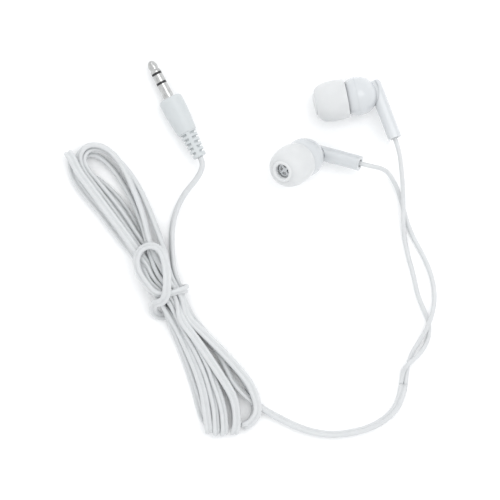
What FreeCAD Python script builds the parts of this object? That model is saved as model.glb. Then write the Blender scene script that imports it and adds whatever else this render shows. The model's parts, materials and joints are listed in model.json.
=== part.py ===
import FreeCAD, Part
import math
import os

# Wired in-ear earphones with a 3.5 mm plug, lying on a flat surface at z = 0.  Millimetres throughout.
#
# Each earbud is modelled in its own frame and then laid down in the row's frame:
#   bud frame   origin at the centre of the ball, +Z along the nozzle towards the ear,
#               the stem behind the ball, running down -Y
#   plug frame  origin where the metal sleeve leaves the grip, +Z towards the plug's tip
# The row's origin is on the surface, under the middle of the two earbuds.

Vector = FreeCAD.Vector

# ---------------------------------------------------------------- driving dimensions: cord
LEAD_D = 1.5                # one lead; two side by side make the twin cord
LEAD_STRAIGHT = {"left": 4.0, "right": 3.2}     # each lead leaves its stem straight for this far
PLUG_LEAD_STRAIGHT = 2.2
STUB_FROM_MOUTH = 1.0       # where the lead's inner end and the free lead meet, inside the stem
CORNER_SHARE = 0.45         # share of the shorter run that a corner's arc takes up

# ---------------------------------------------------------------- driving dimensions: earbud shells
BALL_R = 6.5                # outside radius of the round housing
SHELL_WALL = 0.9
SEAM_Z = 0.6                # plane where the front and the rear shell meet
SEAM_LIP_HEIGHT = 0.8       # spigot of the rear shell inside the front shell
SEAM_LIP_INSET = 0.6        # the spigot's outside, in from the ball's outside
SEAM_LIP_THICKNESS = 0.4
SEAM_LIP_OUTER_R = BALL_R - SEAM_LIP_INSET
SEAM_LIP_INNER_R = SEAM_LIP_OUTER_R - SEAM_LIP_THICKNESS
SEAM_LIP_GAP = 0.03
SEAM_GROOVE_R = 0.09        # fine groove round the outside of the seam
SHOULDER_R = 3.3            # step that the ear tip's sleeve seats on
SHOULDER_RISE = 0.3         # of the shoulder's face above the ball
SHOULDER_Z = BALL_R + SHOULDER_RISE
NOZZLE_R = 2.35
NOZZLE_ROOT = 2.0           # how far the nozzle starts inside the ball
NOZZLE_LIP_R = 2.55
NOZZLE_LIP_HEIGHT = 0.9
NOZZLE_BORE_R = 1.75
NOZZLE_LENGTH = 6.4         # beyond the ball
NOZZLE_END_Z = BALL_R + NOZZLE_LENGTH
SPIDER_THICKNESS = 0.6      # ribbed outlet across the nozzle's end
SPIDER_RIB = 0.75
SPIDER_HUB_R = 0.75
SPIDER_RIBS = 4
MESH_THICKNESS = 0.15
FIT_GAP = 0.03              # between pieces that are glued or pressed in place

# ---------------------------------------------------------------- driving dimensions: stem
STEM_ANGLE = 99.5           # between the nozzle's direction and the stem's
STEM_THICKNESS = 4.5        # front to back
STEM_WIDTH = 4.8            # side to side
STEM_CORNER_R = 1.9
STEM_SETBACK = BALL_R       # from the ball's centre to the stem's axis, level with the ball's back
STEM_TOP = 2.9              # how far the stem reaches above the ball's centre line
STEM_LENGTH = 20.5
STEM_TOP_CORNER_R = 1.6
STEM_BORE_CLEARANCE = 0.7   # round the lead
STEM_BORE_R = LEAD_D / 2 + STEM_BORE_CLEARANCE
STEM_BORE_TOP = 2.0         # how far the bore runs on above the port into the ball
SCOOP_GAP = 1.1             # the stem's sides are scooped clear of the ball by this much
SCOOP_OFFSET = 0.8
NECK_WIDTH = 3.3            # web that joins the ball to the stem inside the scoop
NECK_INSET = 1.3            # the web ends this far short of the ball's radius down the stem
NECK_REACH = BALL_R - NECK_INSET
PORT_CLEARANCE = 0.4        # round the lead, on its way from the stem into the ball
PORT_R = LEAD_D / 2 + PORT_CLEARANCE

# ---------------------------------------------------------------- driving dimensions: ear tip
TIP_MAX_R = 6.8
TIP_RIM_R = 6.45
TIP_LENGTH = 11.0
TIP_AHEAD = 2.1             # of the tip's front beyond the nozzle's end
TIP_FRONT_Z = NOZZLE_END_Z + TIP_AHEAD
TIP_RIM_Z = TIP_FRONT_Z - TIP_LENGTH
TIP_WALL = 0.65
TIP_BEAD = 0.12             # rounding of the skirt's rim
TIP_BELLY_SHARE = 0.34      # the widest place, as a share of the length from the rim
TIP_WAIST_SHARE = 0.6       # where the dome starts
TIP_DOME_STEP = 0.5         # the skirt is narrower by this where the dome starts
TIP_DOME_MIDDLE = (0.95, 2.2)   # in and up from the dome's start to the middle of its outer arc
TIP_HOLLOW_MIDDLE = (0.85, 1.3) # the same for its inner arc
TIP_COLLAR_R = 3.75         # raised ring round the sound opening
TIP_COLLAR_HEIGHT = 0.6
TIP_OPENING_R = 2.45
TIP_SLEEVE_WALL = 0.7
TIP_BORE_CLEARANCE = 0.1    # over the nozzle's lip
TIP_SEAT_GAP = 0.1          # sleeve to shoulder, and nozzle end to the step in the bore

# ---------------------------------------------------------------- driving dimensions: driver
DRIVER_R = 4.7
DRIVER_FRONT_Z = 2.3        # front face of the perforated cover, on the front shell's ledge
LEDGE_THICKNESS = 0.6
LEDGE_LAP = 0.5             # of the ledge over the driver's rim
LEDGE_INNER_R = DRIVER_R - LEDGE_LAP
COVER_THICKNESS = 0.15
COVER_HOLE_R = 0.45
COVER_HOLE_CIRCLE_R = 2.4
FRAME_WALL = 0.35
FRAME_DEPTH = 2.5
FRAME_WEB = 0.5
FRAME_STEP_WIDTH = 0.35     # ring that the surround's outer edge sits on
FRAME_VENT_R = 0.32
YOKE_INSET = 1.57           # room round the yoke for the frame's web and wall
YOKE_R = DRIVER_R - YOKE_INSET
FRAME_VENT_CIRCLE_R = (YOKE_R + DRIVER_R - FRAME_WALL) / 2
YOKE_WALL = 0.5
YOKE_DEPTH = 2.5
YOKE_BACK_Z = -1.85
MAGNET_GAP = 0.58           # between the magnet and the yoke's wall
MAGNET_R = YOKE_R - YOKE_WALL - MAGNET_GAP
MAGNET_THICKNESS = 1.3
PLATE_OVERHANG = 0.1
PLATE_R = MAGNET_R + PLATE_OVERHANG
PLATE_THICKNESS = 0.45
COIL_GAP = 0.13             # between the top plate and the coil
COIL_WALL = 0.2
COIL_INNER_R = PLATE_R + COIL_GAP
COIL_OUTER_R = COIL_INNER_R + COIL_WALL
COIL_BOTTOM_Z = -0.55
DIAPHRAGM_Z = 1.15          # seat of the dome on the coil
DIAPHRAGM_FLANGE = 0.12     # beyond the coil
DIAPHRAGM_R = COIL_OUTER_R + DIAPHRAGM_FLANGE
DIAPHRAGM_RISE = 0.5
FILM = 0.08
SURROUND_GAP = 0.05
SURROUND_RISE = 0.35
FELT_THICKNESS = 0.3
BOARD_INSET = 0.93          # from the yoke's edge to each end of the board
BOARD_LENGTH = 2 * (YOKE_R - BOARD_INSET)
BOARD_WIDTH = 2.2
BOARD_THICKNESS = 0.4
WIRE_R = 0.13
WIRE_SPACING = 1.7
WIRE_DROP = 0.5             # straight down from the pad before the wire turns
KNOT_INSET = 2.4            # knot's centre from the stem's axis
KNOT_DISTANCE = STEM_SETBACK - KNOT_INSET
KNOT_RING_R = 0.8
KNOT_CORD_R = 0.6
KNOT_BEND_SHARE = 0.75      # of the way from the stem's axis to the knot that the lead's bend takes up

# ---------------------------------------------------------------- driving dimensions: plug
PLUG_R = 1.75               # 3.5 mm plug
PLUG_LENGTH = 14.0
FRONT_INSULATOR_CENTRE = 4.9    # from the tip's end
REAR_INSULATOR_CENTRE = 8.4
INSULATOR_WIDTH = 0.8
INSULATOR_TAIL = 0.4        # how far an insulator's tube outlasts the layer round it
TIP_WAIST_DEPTH = 0.35
TIP_WAIST_R = PLUG_R - TIP_WAIST_DEPTH
TIP_WAIST_FROM_END = 3.3
TIP_BULGE_DEPTH = 0.12
TIP_BULGE_R = PLUG_R - TIP_BULGE_DEPTH
TIP_BULGE_FROM_END = 2.0
TIP_NOSE_R = 0.85
TIP_NOSE_SPREAD = 1.45      # radius of the nose's foot, as a share of its height
TIP_LAND = 0.55             # full-width land behind the tip's waist
SLEEVE_WALL = 0.65
TUBE_WALL = 0.24            # of the ring's tube, and of the insulation round it
ROD_COVER = 0.2             # insulation round the tip's rod
OUTER_TUBE_R = PLUG_R - SLEEVE_WALL
SHANK_STEP = 0.25           # the sleeve is turned down by this where it is inside the grip
SHANK_R = PLUG_R - SHANK_STEP
RING_TUBE_R = OUTER_TUBE_R - TUBE_WALL
INNER_TUBE_R = RING_TUBE_R - TUBE_WALL
ROD_R = INNER_TUBE_R - ROD_COVER
SLEEVE_TAIL = 5.0           # how far each layer runs on inside the grip
RING_TAIL = 6.2
TIP_TAIL = 7.4
TAB_WIDTH = 1.6
TAB_THICKNESS = 0.3
TAB_LENGTH = 3.2
TAB_CUFF = 1.0              # length of the cuff that joins the tab to the sleeve
MOULD_COVER = 0.6           # of the inner mould over the solder tab
MOULD_R = SHANK_R + TAB_THICKNESS + MOULD_COVER
GRIP_FRONT_WALL_R = 1.65     # of the grip round the inner mould, at the grip's two ends
GRIP_REAR_WALL_R = 0.9
GRIP_FRONT_R = MOULD_R + GRIP_FRONT_WALL_R
GRIP_REAR_R = MOULD_R + GRIP_REAR_WALL_R
GRIP_LENGTH = 13.0
GRIP_CORNER_R = 1.25
GRIP_CROWN = 0.22           # of the grip's side over a straight taper
RELIEF_LENGTH = 9.4
RELIEF_STEP = 0.3           # down from the grip to the strain relief
RELIEF_END_WALL = 0.75       # over the twin cord's edge
RELIEF_FRONT_R = GRIP_REAR_R - RELIEF_STEP
RELIEF_END_R = LEAD_D + RELIEF_END_WALL
RELIEF_GROOVES = 5
RELIEF_FIRST_GROOVE = 0.55  # its place, in pitches from the grip
RELIEF_CHAMFER = 0.2
RELIEF_GROOVE_WIDTH = 0.8
RELIEF_GROOVE_DEPTH = 0.75
RELIEF_WEB = 1.3            # smooth web left between the two rows of grooves
MOULD_LENGTH = 9.5
MOULD_CORNER_R = 0.4
GRIP_FRONT_WALL = 1.0       # of the grip, ahead of the inner mould
PLUG_WIRE_R = 0.22
TAB_WIRE_LAP = 1.2          # of the ground wire on the solder tab

# ---------------------------------------------------------------- layout
# Where the buds and the plug lie: a point in plan, and directions as (x, y, z).
BUDS = {
    "left": {"at": (7.6, 11.8), "faces": (-0.980, -0.190, 0.030), "stem": (0.347, -0.929, 0.110)},
    "right": {"at": (-10.4, -8.8), "faces": (-0.515, -0.335, 0.790), "stem": (0.941, -0.233, 0.242)},
}
PLUG_AT = (-55.7, 11.3)
PLUG_POINTS = (-0.462, 0.885, -0.061)

# Routes, from the first bend after the exit to the meeting with the next piece.
LEFT_LEAD = [
    (22.1, -12.4, 7.2), (22.7, -18.4, 4.9), (22.9, -23.8, 3.4), (22.8, -29.4, 2.9), (23.2, -35.4, 1.0),
    (24.6, -42.0, 0.75), (26.5, -48.6, 0.75), (27.6, -54.4, 0.75), (29.6, -59.4, 0.75), (31.6, -63.8, 0.75),
    (31.7, -68.8, 0.75), (29.8, -73.0, 0.9), (26.6, -76.4, 2.9), (23.4, -79.0, 2.9), (22.6, -81.9, 0.9),
]
RIGHT_LEAD = [
    (16.7, -12.6, 6.0), (19.4, -16.1, 3.8), (21.4, -20.4, 1.6), (22.8, -25.4, 0.75), (24.4, -31.1, 0.75),
    (26.9, -36.8, 0.75), (30.1, -42.4, 0.75), (32.6, -48.8, 0.75), (33.6, -54.8, 0.9), (33.0, -60.1, 3.0),
    (31.3, -65.2, 3.0), (28.6, -70.1, 0.9), (25.8, -74.4, 0.75), (24.5, -78.4, 0.75), (24.0, -81.8, 0.75),
]
TWIN_CORD = [
    (23.0, -84.8, 0.75), (22.2, -89.4, 0.75), (19.9, -93.9, 0.75), (16.1, -97.2, 0.75), (11.1, -99.8, 0.75),
    (5.4, -101.2, 0.75), (-0.6, -101.9, 0.75), (-6.9, -101.2, 0.75), (-12.9, -99.2, 0.75),
    (-18.6, -96.4, 0.75), (-23.9, -93.4, 0.75),
]
PLUG_LEAD = [
    (-45.0, -13.4, 5.0), (-47.0, -16.6, 4.4), (-49.8, -19.7, 3.6), (-52.2, -23.6, 2.8), (-54.0, -28.0, 2.0),
    (-54.9, -33.0, 1.6), (-54.9, -37.7, 1.6), (-54.3, -42.0, 1.7), (-53.9, -46.2, 2.6), (-52.6, -50.4, 3.8),
]
HANK_OUTLINE = [
    (-90.8, -7.2), (-88.6, -5.2), (-84.0, -5.0), (-79.9, -3.6), (-75.4, -4.6), (-71.2, -9.2), (-67.2, -12.9),
    (-63.4, -19.2), (-60.4, -26.4), (-57.8, -32.8), (-55.0, -39.1), (-52.6, -46.4), (-49.6, -52.4),
    (-48.4, -57.1), (-45.0, -60.4), (-38.9, -68.1), (-32.2, -74.8), (-27.4, -81.1), (-24.8, -87.8),
    (-24.0, -93.4), (-25.7, -98.3), (-29.9, -101.6), (-34.8, -103.3), (-40.3, -102.8), (-44.6, -101.1),
    (-46.9, -94.8), (-48.9, -86.4), (-53.6, -75.1), (-57.9, -64.8), (-61.8, -59.1), (-62.9, -53.8),
    (-66.2, -49.1), (-68.6, -43.8), (-70.0, -40.2), (-82.2, -24.9), (-89.2, -17.6), (-90.4, -12.1),
]
HANK_WINDOW = [
    (-82.6, -11.2), (-79.0, -11.0), (-74.6, -15.2), (-69.6, -21.5), (-66.2, -28.8), (-64.6, -35.0), (-68.2, -32.8),
    (-74.0, -25.0), (-80.4, -17.2),
]
HANK_HEIGHT = 5.4
TIE_HEIGHT = 10.5
TIE_OUTLINE = [
    (-68.0, -42.5), (-65.6, -38.6), (-61.6, -37.6), (-57.6, -39.8), (-55.6, -44.6), (-54.8, -51.0),
    (-49.6, -52.8), (-49.2, -56.2), (-54.5, -58.2), (-58.4, -60.8), (-61.6, -58.6), (-62.4, -54.2), (-66.4, -48.6),
]


# ---------------------------------------------------------------- shape helpers
def revolved(outline):
    """Solid from an (r, z) outline turned about Z.  A three-number entry (r, z, "mid") is the middle of an arc."""
    edges = []
    closed = outline + [outline[0]]
    index = 0
    while index < len(outline):
        start = Vector(closed[index][0], 0, closed[index][1])
        following = closed[index + 1]
        if len(following) == 3:
            middle = Vector(following[0], 0, following[1])
            end = Vector(closed[index + 2][0], 0, closed[index + 2][1])
            edges.append(Part.Arc(start, middle, end).toShape())
            index += 2
        else:
            edges.append(Part.LineSegment(start, Vector(following[0], 0, following[1])).toShape())
            index += 1
    face = Part.Face(Part.Wire(edges))
    return face.revolve(Vector(0, 0, 0), Vector(0, 0, 1), 360)


def cap_middle(radius, edge_z, top_z):
    """Middle of the arc from (radius, edge_z) to the axis at top_z, on a sphere centred on the axis."""
    rise = top_z - edge_z
    sphere_r = (radius ** 2 + rise ** 2) / (2 * rise)
    half = math.asin(radius / sphere_r) / 2
    return (sphere_r * math.sin(half), top_z - sphere_r * (1 - math.cos(half)), "mid")


def disc(radius, z_low, z_high, at=(0, 0)):
    return Part.makeCylinder(radius, z_high - z_low, Vector(at[0], at[1], z_low))


def ring(outer_r, inner_r, z_low, z_high):
    return disc(outer_r, z_low, z_high).cut(disc(inner_r, z_low - 1, z_high + 1))


def around(count, radius, start_angle=0.0):
    """Points evenly spaced on a circle about Z."""
    angles = [math.radians(start_angle + 360.0 * k / count) for k in range(count)]
    return [(radius * math.cos(a), radius * math.sin(a)) for a in angles]


def block(x_size, y_size, z_low, z_high, centre=(0, 0)):
    corner = Vector(centre[0] - x_size / 2, centre[1] - y_size / 2, z_low)
    return Part.makeBox(x_size, y_size, z_high - z_low, corner)


def above(z, size=60):
    return block(size, size, z, z + size)


def below(z, size=60):
    return block(size, size, z - size, z)


def fused(shapes):
    whole = shapes[0]
    for shape in shapes[1:]:
        whole = whole.fuse(shape)
    return whole.removeSplitter()


def path_wire(points, name=None):
    """Straight runs joined by tangent arcs, each as large as its two runs allow."""
    edges = []
    radii = []
    start = points[0]
    for before, corner, after in zip(points, points[1:], points[2:]):
        inward, outward = (before - corner), (after - corner)
        shorter = min(inward.Length, outward.Length)
        inward.normalize()
        outward.normalize()
        turn = math.pi - inward.getAngle(outward)
        setback = CORNER_SHARE * shorter
        radii.append(setback / math.tan(turn / 2))
        arc_start, arc_end = corner + inward * setback, corner + outward * setback
        bisector = (inward + outward).normalize()
        centre_distance = radii[-1] / math.cos(turn / 2)
        arc_middle = corner + bisector * (centre_distance - radii[-1])
        edges.append(Part.LineSegment(start, arc_start).toShape())
        edges.append(Part.Arc(arc_start, arc_middle, arc_end).toShape())
        start = arc_end
    edges.append(Part.LineSegment(start, points[-1]).toShape())
    wire = Part.Wire(edges)
    if name:
        print(f"{name}: length {wire.Length:.1f}, radii " + " ".join(f"{r:.1f}" for r in radii))
    return wire


def section_wire(at, along, width, height, wide_axis):
    """Outline across a cord: a circle, or two half circles joined by flats where it is wider than high."""
    along = Vector(along).normalize()
    if abs(width - height) < 1e-9:
        return Part.Wire([Part.Circle(at, along, width / 2).toShape()])
    wide = (wide_axis - along * wide_axis.dot(along)).normalize()
    thin = along.cross(wide)
    reach, radius = (width - height) / 2, height / 2
    corner = {(i, j): at + wide * reach * i + thin * radius * j for i in (-1, 1) for j in (-1, 1)}
    ends = {i: at + wide * (reach + radius) * i for i in (-1, 1)}
    return Part.Wire([
        Part.LineSegment(corner[-1, -1], corner[1, -1]).toShape(),
        Part.Arc(corner[1, -1], ends[1], corner[1, 1]).toShape(),
        Part.LineSegment(corner[1, 1], corner[-1, 1]).toShape(),
        Part.Arc(corner[-1, 1], ends[-1], corner[-1, -1]).toShape(),
    ])


def cord_tube(points, width, height, name=None, upright=False):
    """Tube along the route; the wide side of a twin cord lies flat, or stands upright."""
    points = [Vector(p) for p in points]
    wire = path_wire(points, name)
    along = points[1] - points[0]
    up = Vector(0, 0, 1)
    profile = section_wire(points[0], along, width, height, up if upright else along.cross(up))
    sweep = Part.BRepOffsetAPI.MakePipeShell(wire)
    if width != height:
        sweep.setBiNormalMode(up)
    sweep.add(profile)
    sweep.build()
    sweep.makeSolid()
    tube = sweep.shape()
    area = Part.Face(profile).Area
    if name:
        print(f"{name}: volume over section times length {tube.Volume / (area * wire.Length):.4f}")
    return tube


def smooth_prism(outline, z_low, z_high):
    """Upright solid inside a smooth closed curve through the outline's points."""
    curve = Part.BSplineCurve()
    curve.interpolate(Points=[Vector(x, y, z_low) for x, y in outline], PeriodicFlag=True)
    return Part.Face(Part.Wire([curve.toShape()])).extrude(Vector(0, 0, z_high - z_low))


# ---------------------------------------------------------------- the stem's own directions in the bud frame
STEM_ALONG = Vector(0, -math.sin(math.radians(STEM_ANGLE)), math.cos(math.radians(STEM_ANGLE)))
STEM_BACK = Vector(0, -STEM_ALONG.z, STEM_ALONG.y)
STEM_SIDE = Vector(1, 0, 0)
STEM_MOUTH = STEM_LENGTH - STEM_TOP


def stem_point(along, back=STEM_SETBACK, side=0.0):
    """Point in the bud frame: distances along the stem, behind the ball's centre and to the side."""
    return STEM_ALONG * along + STEM_BACK * back + STEM_SIDE * side


# ---------------------------------------------------------------- earbud: shells
def rounded_bar(width, bottom):
    """Upright bar with round-edged section, its top end rounded in side view."""
    half_w, half_t, r = width / 2, STEM_THICKNESS / 2, min(STEM_CORNER_R, width / 2 - 0.05)
    top = -STEM_TOP
    bar = Part.makeBox(width, STEM_THICKNESS, bottom - top, Vector(-half_w, -half_t, top))
    long_edges = [e for e in bar.Edges if abs(e.Vertexes[0].Z - e.Vertexes[1].Z) > 1]
    bar = bar.makeFillet(r, long_edges)
    outline = Part.makeBox(2 * width, STEM_THICKNESS, bottom - top, Vector(-width, -half_t, top))
    top_edges = [e for e in outline.Edges
                 if all(abs(v.Z - top) < 1e-6 for v in e.Vertexes) and abs(e.Vertexes[0].X - e.Vertexes[1].X) > 1]
    outline = outline.makeFillet(STEM_TOP_CORNER_R, top_edges)
    bar = bar.common(outline)
    turn = FreeCAD.Matrix(
        STEM_SIDE.x, STEM_BACK.x, STEM_ALONG.x, 0,
        STEM_SIDE.y, STEM_BACK.y, STEM_ALONG.y, 0,
        STEM_SIDE.z, STEM_BACK.z, STEM_ALONG.z, 0,
        0, 0, 0, 1)
    return bar.transformGeometry(turn).translated(STEM_BACK * STEM_SETBACK)


def stem_bar():
    """The stem outside the ball: a full bar, scooped round the ball, and the narrower neck in the scoop."""
    scoop = Part.makeSphere(BALL_R + SCOOP_GAP, Vector(0, SCOOP_OFFSET, 0))
    return fused([rounded_bar(STEM_WIDTH, STEM_MOUTH).cut(scoop), rounded_bar(NECK_WIDTH, NECK_REACH)])


def seam_groove():
    return Part.makeTorus(BALL_R, SEAM_GROOVE_R, Vector(0, 0, SEAM_Z))


def rear_shell():
    half_ball = Part.makeSphere(BALL_R).common(below(SEAM_Z))
    lip = ring(SEAM_LIP_OUTER_R - SEAM_LIP_GAP, SEAM_LIP_INNER_R, SEAM_Z - SHELL_WALL, SEAM_Z + SEAM_LIP_HEIGHT)
    lip = lip.common(Part.makeSphere(BALL_R - SHELL_WALL / 3))
    shell = fused([half_ball, stem_bar()])
    shell = shell.cut(Part.makeSphere(BALL_R - SHELL_WALL).common(below(SEAM_Z + 0.01)))
    shell = fused([shell, lip])
    bore = Part.makeCylinder(STEM_BORE_R, STEM_MOUTH + STEM_BORE_TOP + 1, stem_point(-STEM_BORE_TOP), STEM_ALONG)
    port = Part.makeCylinder(PORT_R, STEM_SETBACK, Vector(0, 0, 0), STEM_BACK)
    port = port.cut(Part.makeSphere(BALL_R - 2 * SHELL_WALL))
    return shell.cut(bore).cut(port).cut(seam_groove())


def outlet_openings():
    """The sector holes between the ribs of the nozzle's end."""
    holes = ring(NOZZLE_BORE_R, SPIDER_HUB_R, NOZZLE_END_Z - SPIDER_THICKNESS - 1, NOZZLE_END_Z + 1)
    for k in range(SPIDER_RIBS):
        rib = block(NOZZLE_BORE_R * 2, SPIDER_RIB, NOZZLE_END_Z - 3, NOZZLE_END_Z + 3, (NOZZLE_BORE_R, 0))
        rib.rotate(Vector(0, 0, 0), Vector(0, 0, 1), 45 + 360.0 * k / SPIDER_RIBS)
        holes = holes.cut(rib)
    return holes


def front_shell():
    half_ball = Part.makeSphere(BALL_R).common(above(SEAM_Z))
    nozzle = revolved([
        (0, BALL_R - NOZZLE_ROOT), (SHOULDER_R, BALL_R - NOZZLE_ROOT), (SHOULDER_R, SHOULDER_Z), (NOZZLE_R, SHOULDER_Z),
        (NOZZLE_R, NOZZLE_END_Z - 2 * NOZZLE_LIP_HEIGHT), (NOZZLE_LIP_R, NOZZLE_END_Z - NOZZLE_LIP_HEIGHT),
        (NOZZLE_LIP_R, NOZZLE_END_Z - NOZZLE_LIP_HEIGHT / 4),
        (NOZZLE_LIP_R - NOZZLE_LIP_HEIGHT / 4, NOZZLE_END_Z), (0, NOZZLE_END_Z)])
    shell = fused([half_ball, nozzle])
    inside = Part.makeSphere(BALL_R - SHELL_WALL)
    shell = shell.cut(inside).cut(disc(NOZZLE_BORE_R, 0, NOZZLE_END_Z - SPIDER_THICKNESS))
    ledge = ring(BALL_R, LEDGE_INNER_R, DRIVER_FRONT_Z, DRIVER_FRONT_Z + LEDGE_THICKNESS)
    shell = fused([shell, ledge.common(Part.makeSphere(BALL_R - SHELL_WALL / 2))])
    recess = disc(SEAM_LIP_OUTER_R, SEAM_Z - 1, SEAM_Z + SEAM_LIP_HEIGHT + SEAM_LIP_GAP)
    return shell.cut(recess).cut(outlet_openings()).cut(seam_groove())


def nozzle_mesh():
    top = NOZZLE_END_Z - SPIDER_THICKNESS
    return disc(NOZZLE_BORE_R - FIT_GAP, top - MESH_THICKNESS, top)


def ear_tip():
    bore_r = NOZZLE_LIP_R + TIP_BORE_CLEARANCE
    sleeve_r = bore_r + TIP_SLEEVE_WALL
    sleeve_z = SHOULDER_Z + TIP_SEAT_GAP
    step_z = NOZZLE_END_Z + TIP_SEAT_GAP
    collar_z = TIP_FRONT_Z - TIP_COLLAR_HEIGHT
    length = TIP_FRONT_Z - TIP_RIM_Z
    waist_z, belly_z = TIP_RIM_Z + TIP_WAIST_SHARE * length, TIP_RIM_Z + TIP_BELLY_SHARE * length
    dome_r = TIP_MAX_R - TIP_DOME_STEP
    hollow_r = dome_r - TIP_WALL
    inner_rim_r = TIP_RIM_R - TIP_WALL * 0.7
    edge_r = (TIP_COLLAR_R + TIP_OPENING_R) / 2
    return revolved([
        (bore_r, sleeve_z), (sleeve_r, sleeve_z), (sleeve_r, step_z - TIP_WALL),
        (hollow_r - TIP_HOLLOW_MIDDLE[0], waist_z + TIP_HOLLOW_MIDDLE[1], "mid"), (hollow_r, waist_z),
        (TIP_MAX_R - TIP_WALL, belly_z, "mid"), (inner_rim_r, TIP_RIM_Z),
        ((inner_rim_r + TIP_RIM_R) / 2, TIP_RIM_Z - TIP_BEAD, "mid"), (TIP_RIM_R, TIP_RIM_Z),
        (TIP_MAX_R, belly_z, "mid"), (dome_r, waist_z),
        (dome_r - TIP_DOME_MIDDLE[0], waist_z + TIP_DOME_MIDDLE[1], "mid"), (TIP_COLLAR_R, collar_z),
        (edge_r, TIP_FRONT_Z, "mid"), (TIP_OPENING_R, collar_z),
        (TIP_OPENING_R, step_z), (bore_r, step_z)])


# ---------------------------------------------------------------- earbud: driver
def frame_back_z():
    return DRIVER_FRONT_Z - COVER_THICKNESS - FRAME_DEPTH


def driver_cover():
    plate = disc(DRIVER_R, DRIVER_FRONT_Z - COVER_THICKNESS, DRIVER_FRONT_Z)
    for x, y in [(0, 0)] + around(6, COVER_HOLE_CIRCLE_R):
        plate = plate.cut(disc(COVER_HOLE_R, 0, NOZZLE_END_Z, (x, y)))
    return plate


def driver_frame():
    back = frame_back_z()
    step_z = DIAPHRAGM_Z - FILM / 2
    frame = ring(DRIVER_R, DRIVER_R - FRAME_WALL, back, DRIVER_FRONT_Z - COVER_THICKNESS)
    web = ring(DRIVER_R - FRAME_WALL / 2, YOKE_R + FIT_GAP, back, back + FRAME_WEB)
    step = ring(DRIVER_R - FRAME_WALL / 2, DRIVER_R - FRAME_WALL - FRAME_STEP_WIDTH, back, step_z)
    frame = fused([frame, web, step])
    for x, y in around(6, FRAME_VENT_CIRCLE_R, 30):
        frame = frame.cut(disc(FRAME_VENT_R, back - 1, back + FRAME_WEB + 0.01, (x, y)))
    return frame


def driver_yoke():
    cup = disc(YOKE_R, YOKE_BACK_Z, YOKE_BACK_Z + YOKE_DEPTH)
    return cup.cut(disc(YOKE_R - YOKE_WALL, YOKE_BACK_Z + YOKE_WALL, YOKE_BACK_Z + YOKE_DEPTH + 1))


def driver_magnet():
    base = YOKE_BACK_Z + YOKE_WALL
    return disc(MAGNET_R, base, base + MAGNET_THICKNESS)


def driver_top_plate():
    base = YOKE_BACK_Z + YOKE_WALL + MAGNET_THICKNESS
    return disc(PLATE_R, base, base + PLATE_THICKNESS)


def voice_coil():
    return ring(COIL_OUTER_R, COIL_INNER_R, COIL_BOTTOM_Z, DIAPHRAGM_Z)


def diaphragm_dome():
    """Thin dome with a flat flange, glued on the coil."""
    edge, top = COIL_INNER_R, DIAPHRAGM_Z + DIAPHRAGM_RISE
    return revolved([
        (0, top), (0, top + FILM), cap_middle(edge, DIAPHRAGM_Z + FILM, top + FILM), (edge, DIAPHRAGM_Z + FILM),
        (DIAPHRAGM_R, DIAPHRAGM_Z + FILM), (DIAPHRAGM_R, DIAPHRAGM_Z), (edge - FILM, DIAPHRAGM_Z),
        cap_middle(edge - FILM, DIAPHRAGM_Z, top)])


def diaphragm_surround():
    """Half roll between the dome and the frame's step."""
    inner_r = DIAPHRAGM_R + SURROUND_GAP
    outer_r = DRIVER_R - FRAME_WALL
    low = DIAPHRAGM_Z - FILM / 2
    land = FRAME_STEP_WIDTH
    middle = (inner_r + outer_r - land) / 2
    return revolved([
        (inner_r, low), (middle, low + SURROUND_RISE, "mid"), (outer_r - land, low), (outer_r, low),
        (outer_r, low + FILM), (outer_r - land - FILM / 3, low + FILM),
        (middle, low + SURROUND_RISE + FILM, "mid"), (inner_r, low + FILM)])


def damping_felt():
    back = frame_back_z()
    return ring(DRIVER_R - FRAME_WALL, YOKE_R + 2 * FIT_GAP, back - FELT_THICKNESS, back)


def terminal_board():
    board = block(BOARD_LENGTH, BOARD_WIDTH, YOKE_BACK_Z - BOARD_THICKNESS, YOKE_BACK_Z)
    return board.makeFillet(BOARD_WIDTH * 0.3, [e for e in board.Edges
                                                if abs(e.Vertexes[0].Z - e.Vertexes[1].Z) > BOARD_THICKNESS / 2])


def inner_lead():
    """The lead's inner end: up the stem, round into the ball and into its knot."""
    knot_at = STEM_BACK * KNOT_DISTANCE
    route = [stem_point(STEM_MOUTH - STUB_FROM_MOUTH), stem_point(0), knot_at]
    edges_turn_r = STEM_SETBACK - KNOT_DISTANCE
    corner = route[1]
    setback = edges_turn_r * KNOT_BEND_SHARE
    arc_start, arc_end = corner + STEM_ALONG * setback, corner - STEM_BACK * setback
    middle = corner + (STEM_ALONG - STEM_BACK).normalize() * setback * (math.sqrt(2) - 1)
    wire = Part.Wire([
        Part.LineSegment(route[0], arc_start).toShape(),
        Part.Arc(arc_start, middle, arc_end).toShape(),
        Part.LineSegment(arc_end, knot_at).toShape()])
    profile = section_wire(route[0], STEM_ALONG * -1, LEAD_D, LEAD_D, STEM_SIDE)
    tube = wire.makePipeShell([profile], True, False)
    knot = Part.makeTorus(KNOT_RING_R, KNOT_CORD_R, knot_at, STEM_BACK)
    return fused([tube, knot])


def fine_wires():
    """Two fine wires from the board's pads to the knot, as separate solids."""
    wires = []
    knot_at = STEM_BACK * KNOT_DISTANCE
    start_z = YOKE_BACK_Z - BOARD_THICKNESS
    for side in (-1, 1):
        pad = Vector(side * WIRE_SPACING / 2, 0, start_z)
        bend = pad - Vector(0, 0, WIRE_DROP)
        landing = Vector(side * KNOT_RING_R, knot_at.y, knot_at.z) - STEM_BACK * (KNOT_CORD_R * 0.98)
        wire = path_wire([pad, bend, landing])
        profile = section_wire(pad, Vector(0, 0, -1), 2 * WIRE_R, 2 * WIRE_R, STEM_SIDE)
        wires.append(wire.makePipeShell([profile], True, False))
    return Part.makeCompound(wires).cut(Part.makeTorus(KNOT_RING_R, KNOT_CORD_R, knot_at, STEM_BACK))


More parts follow.
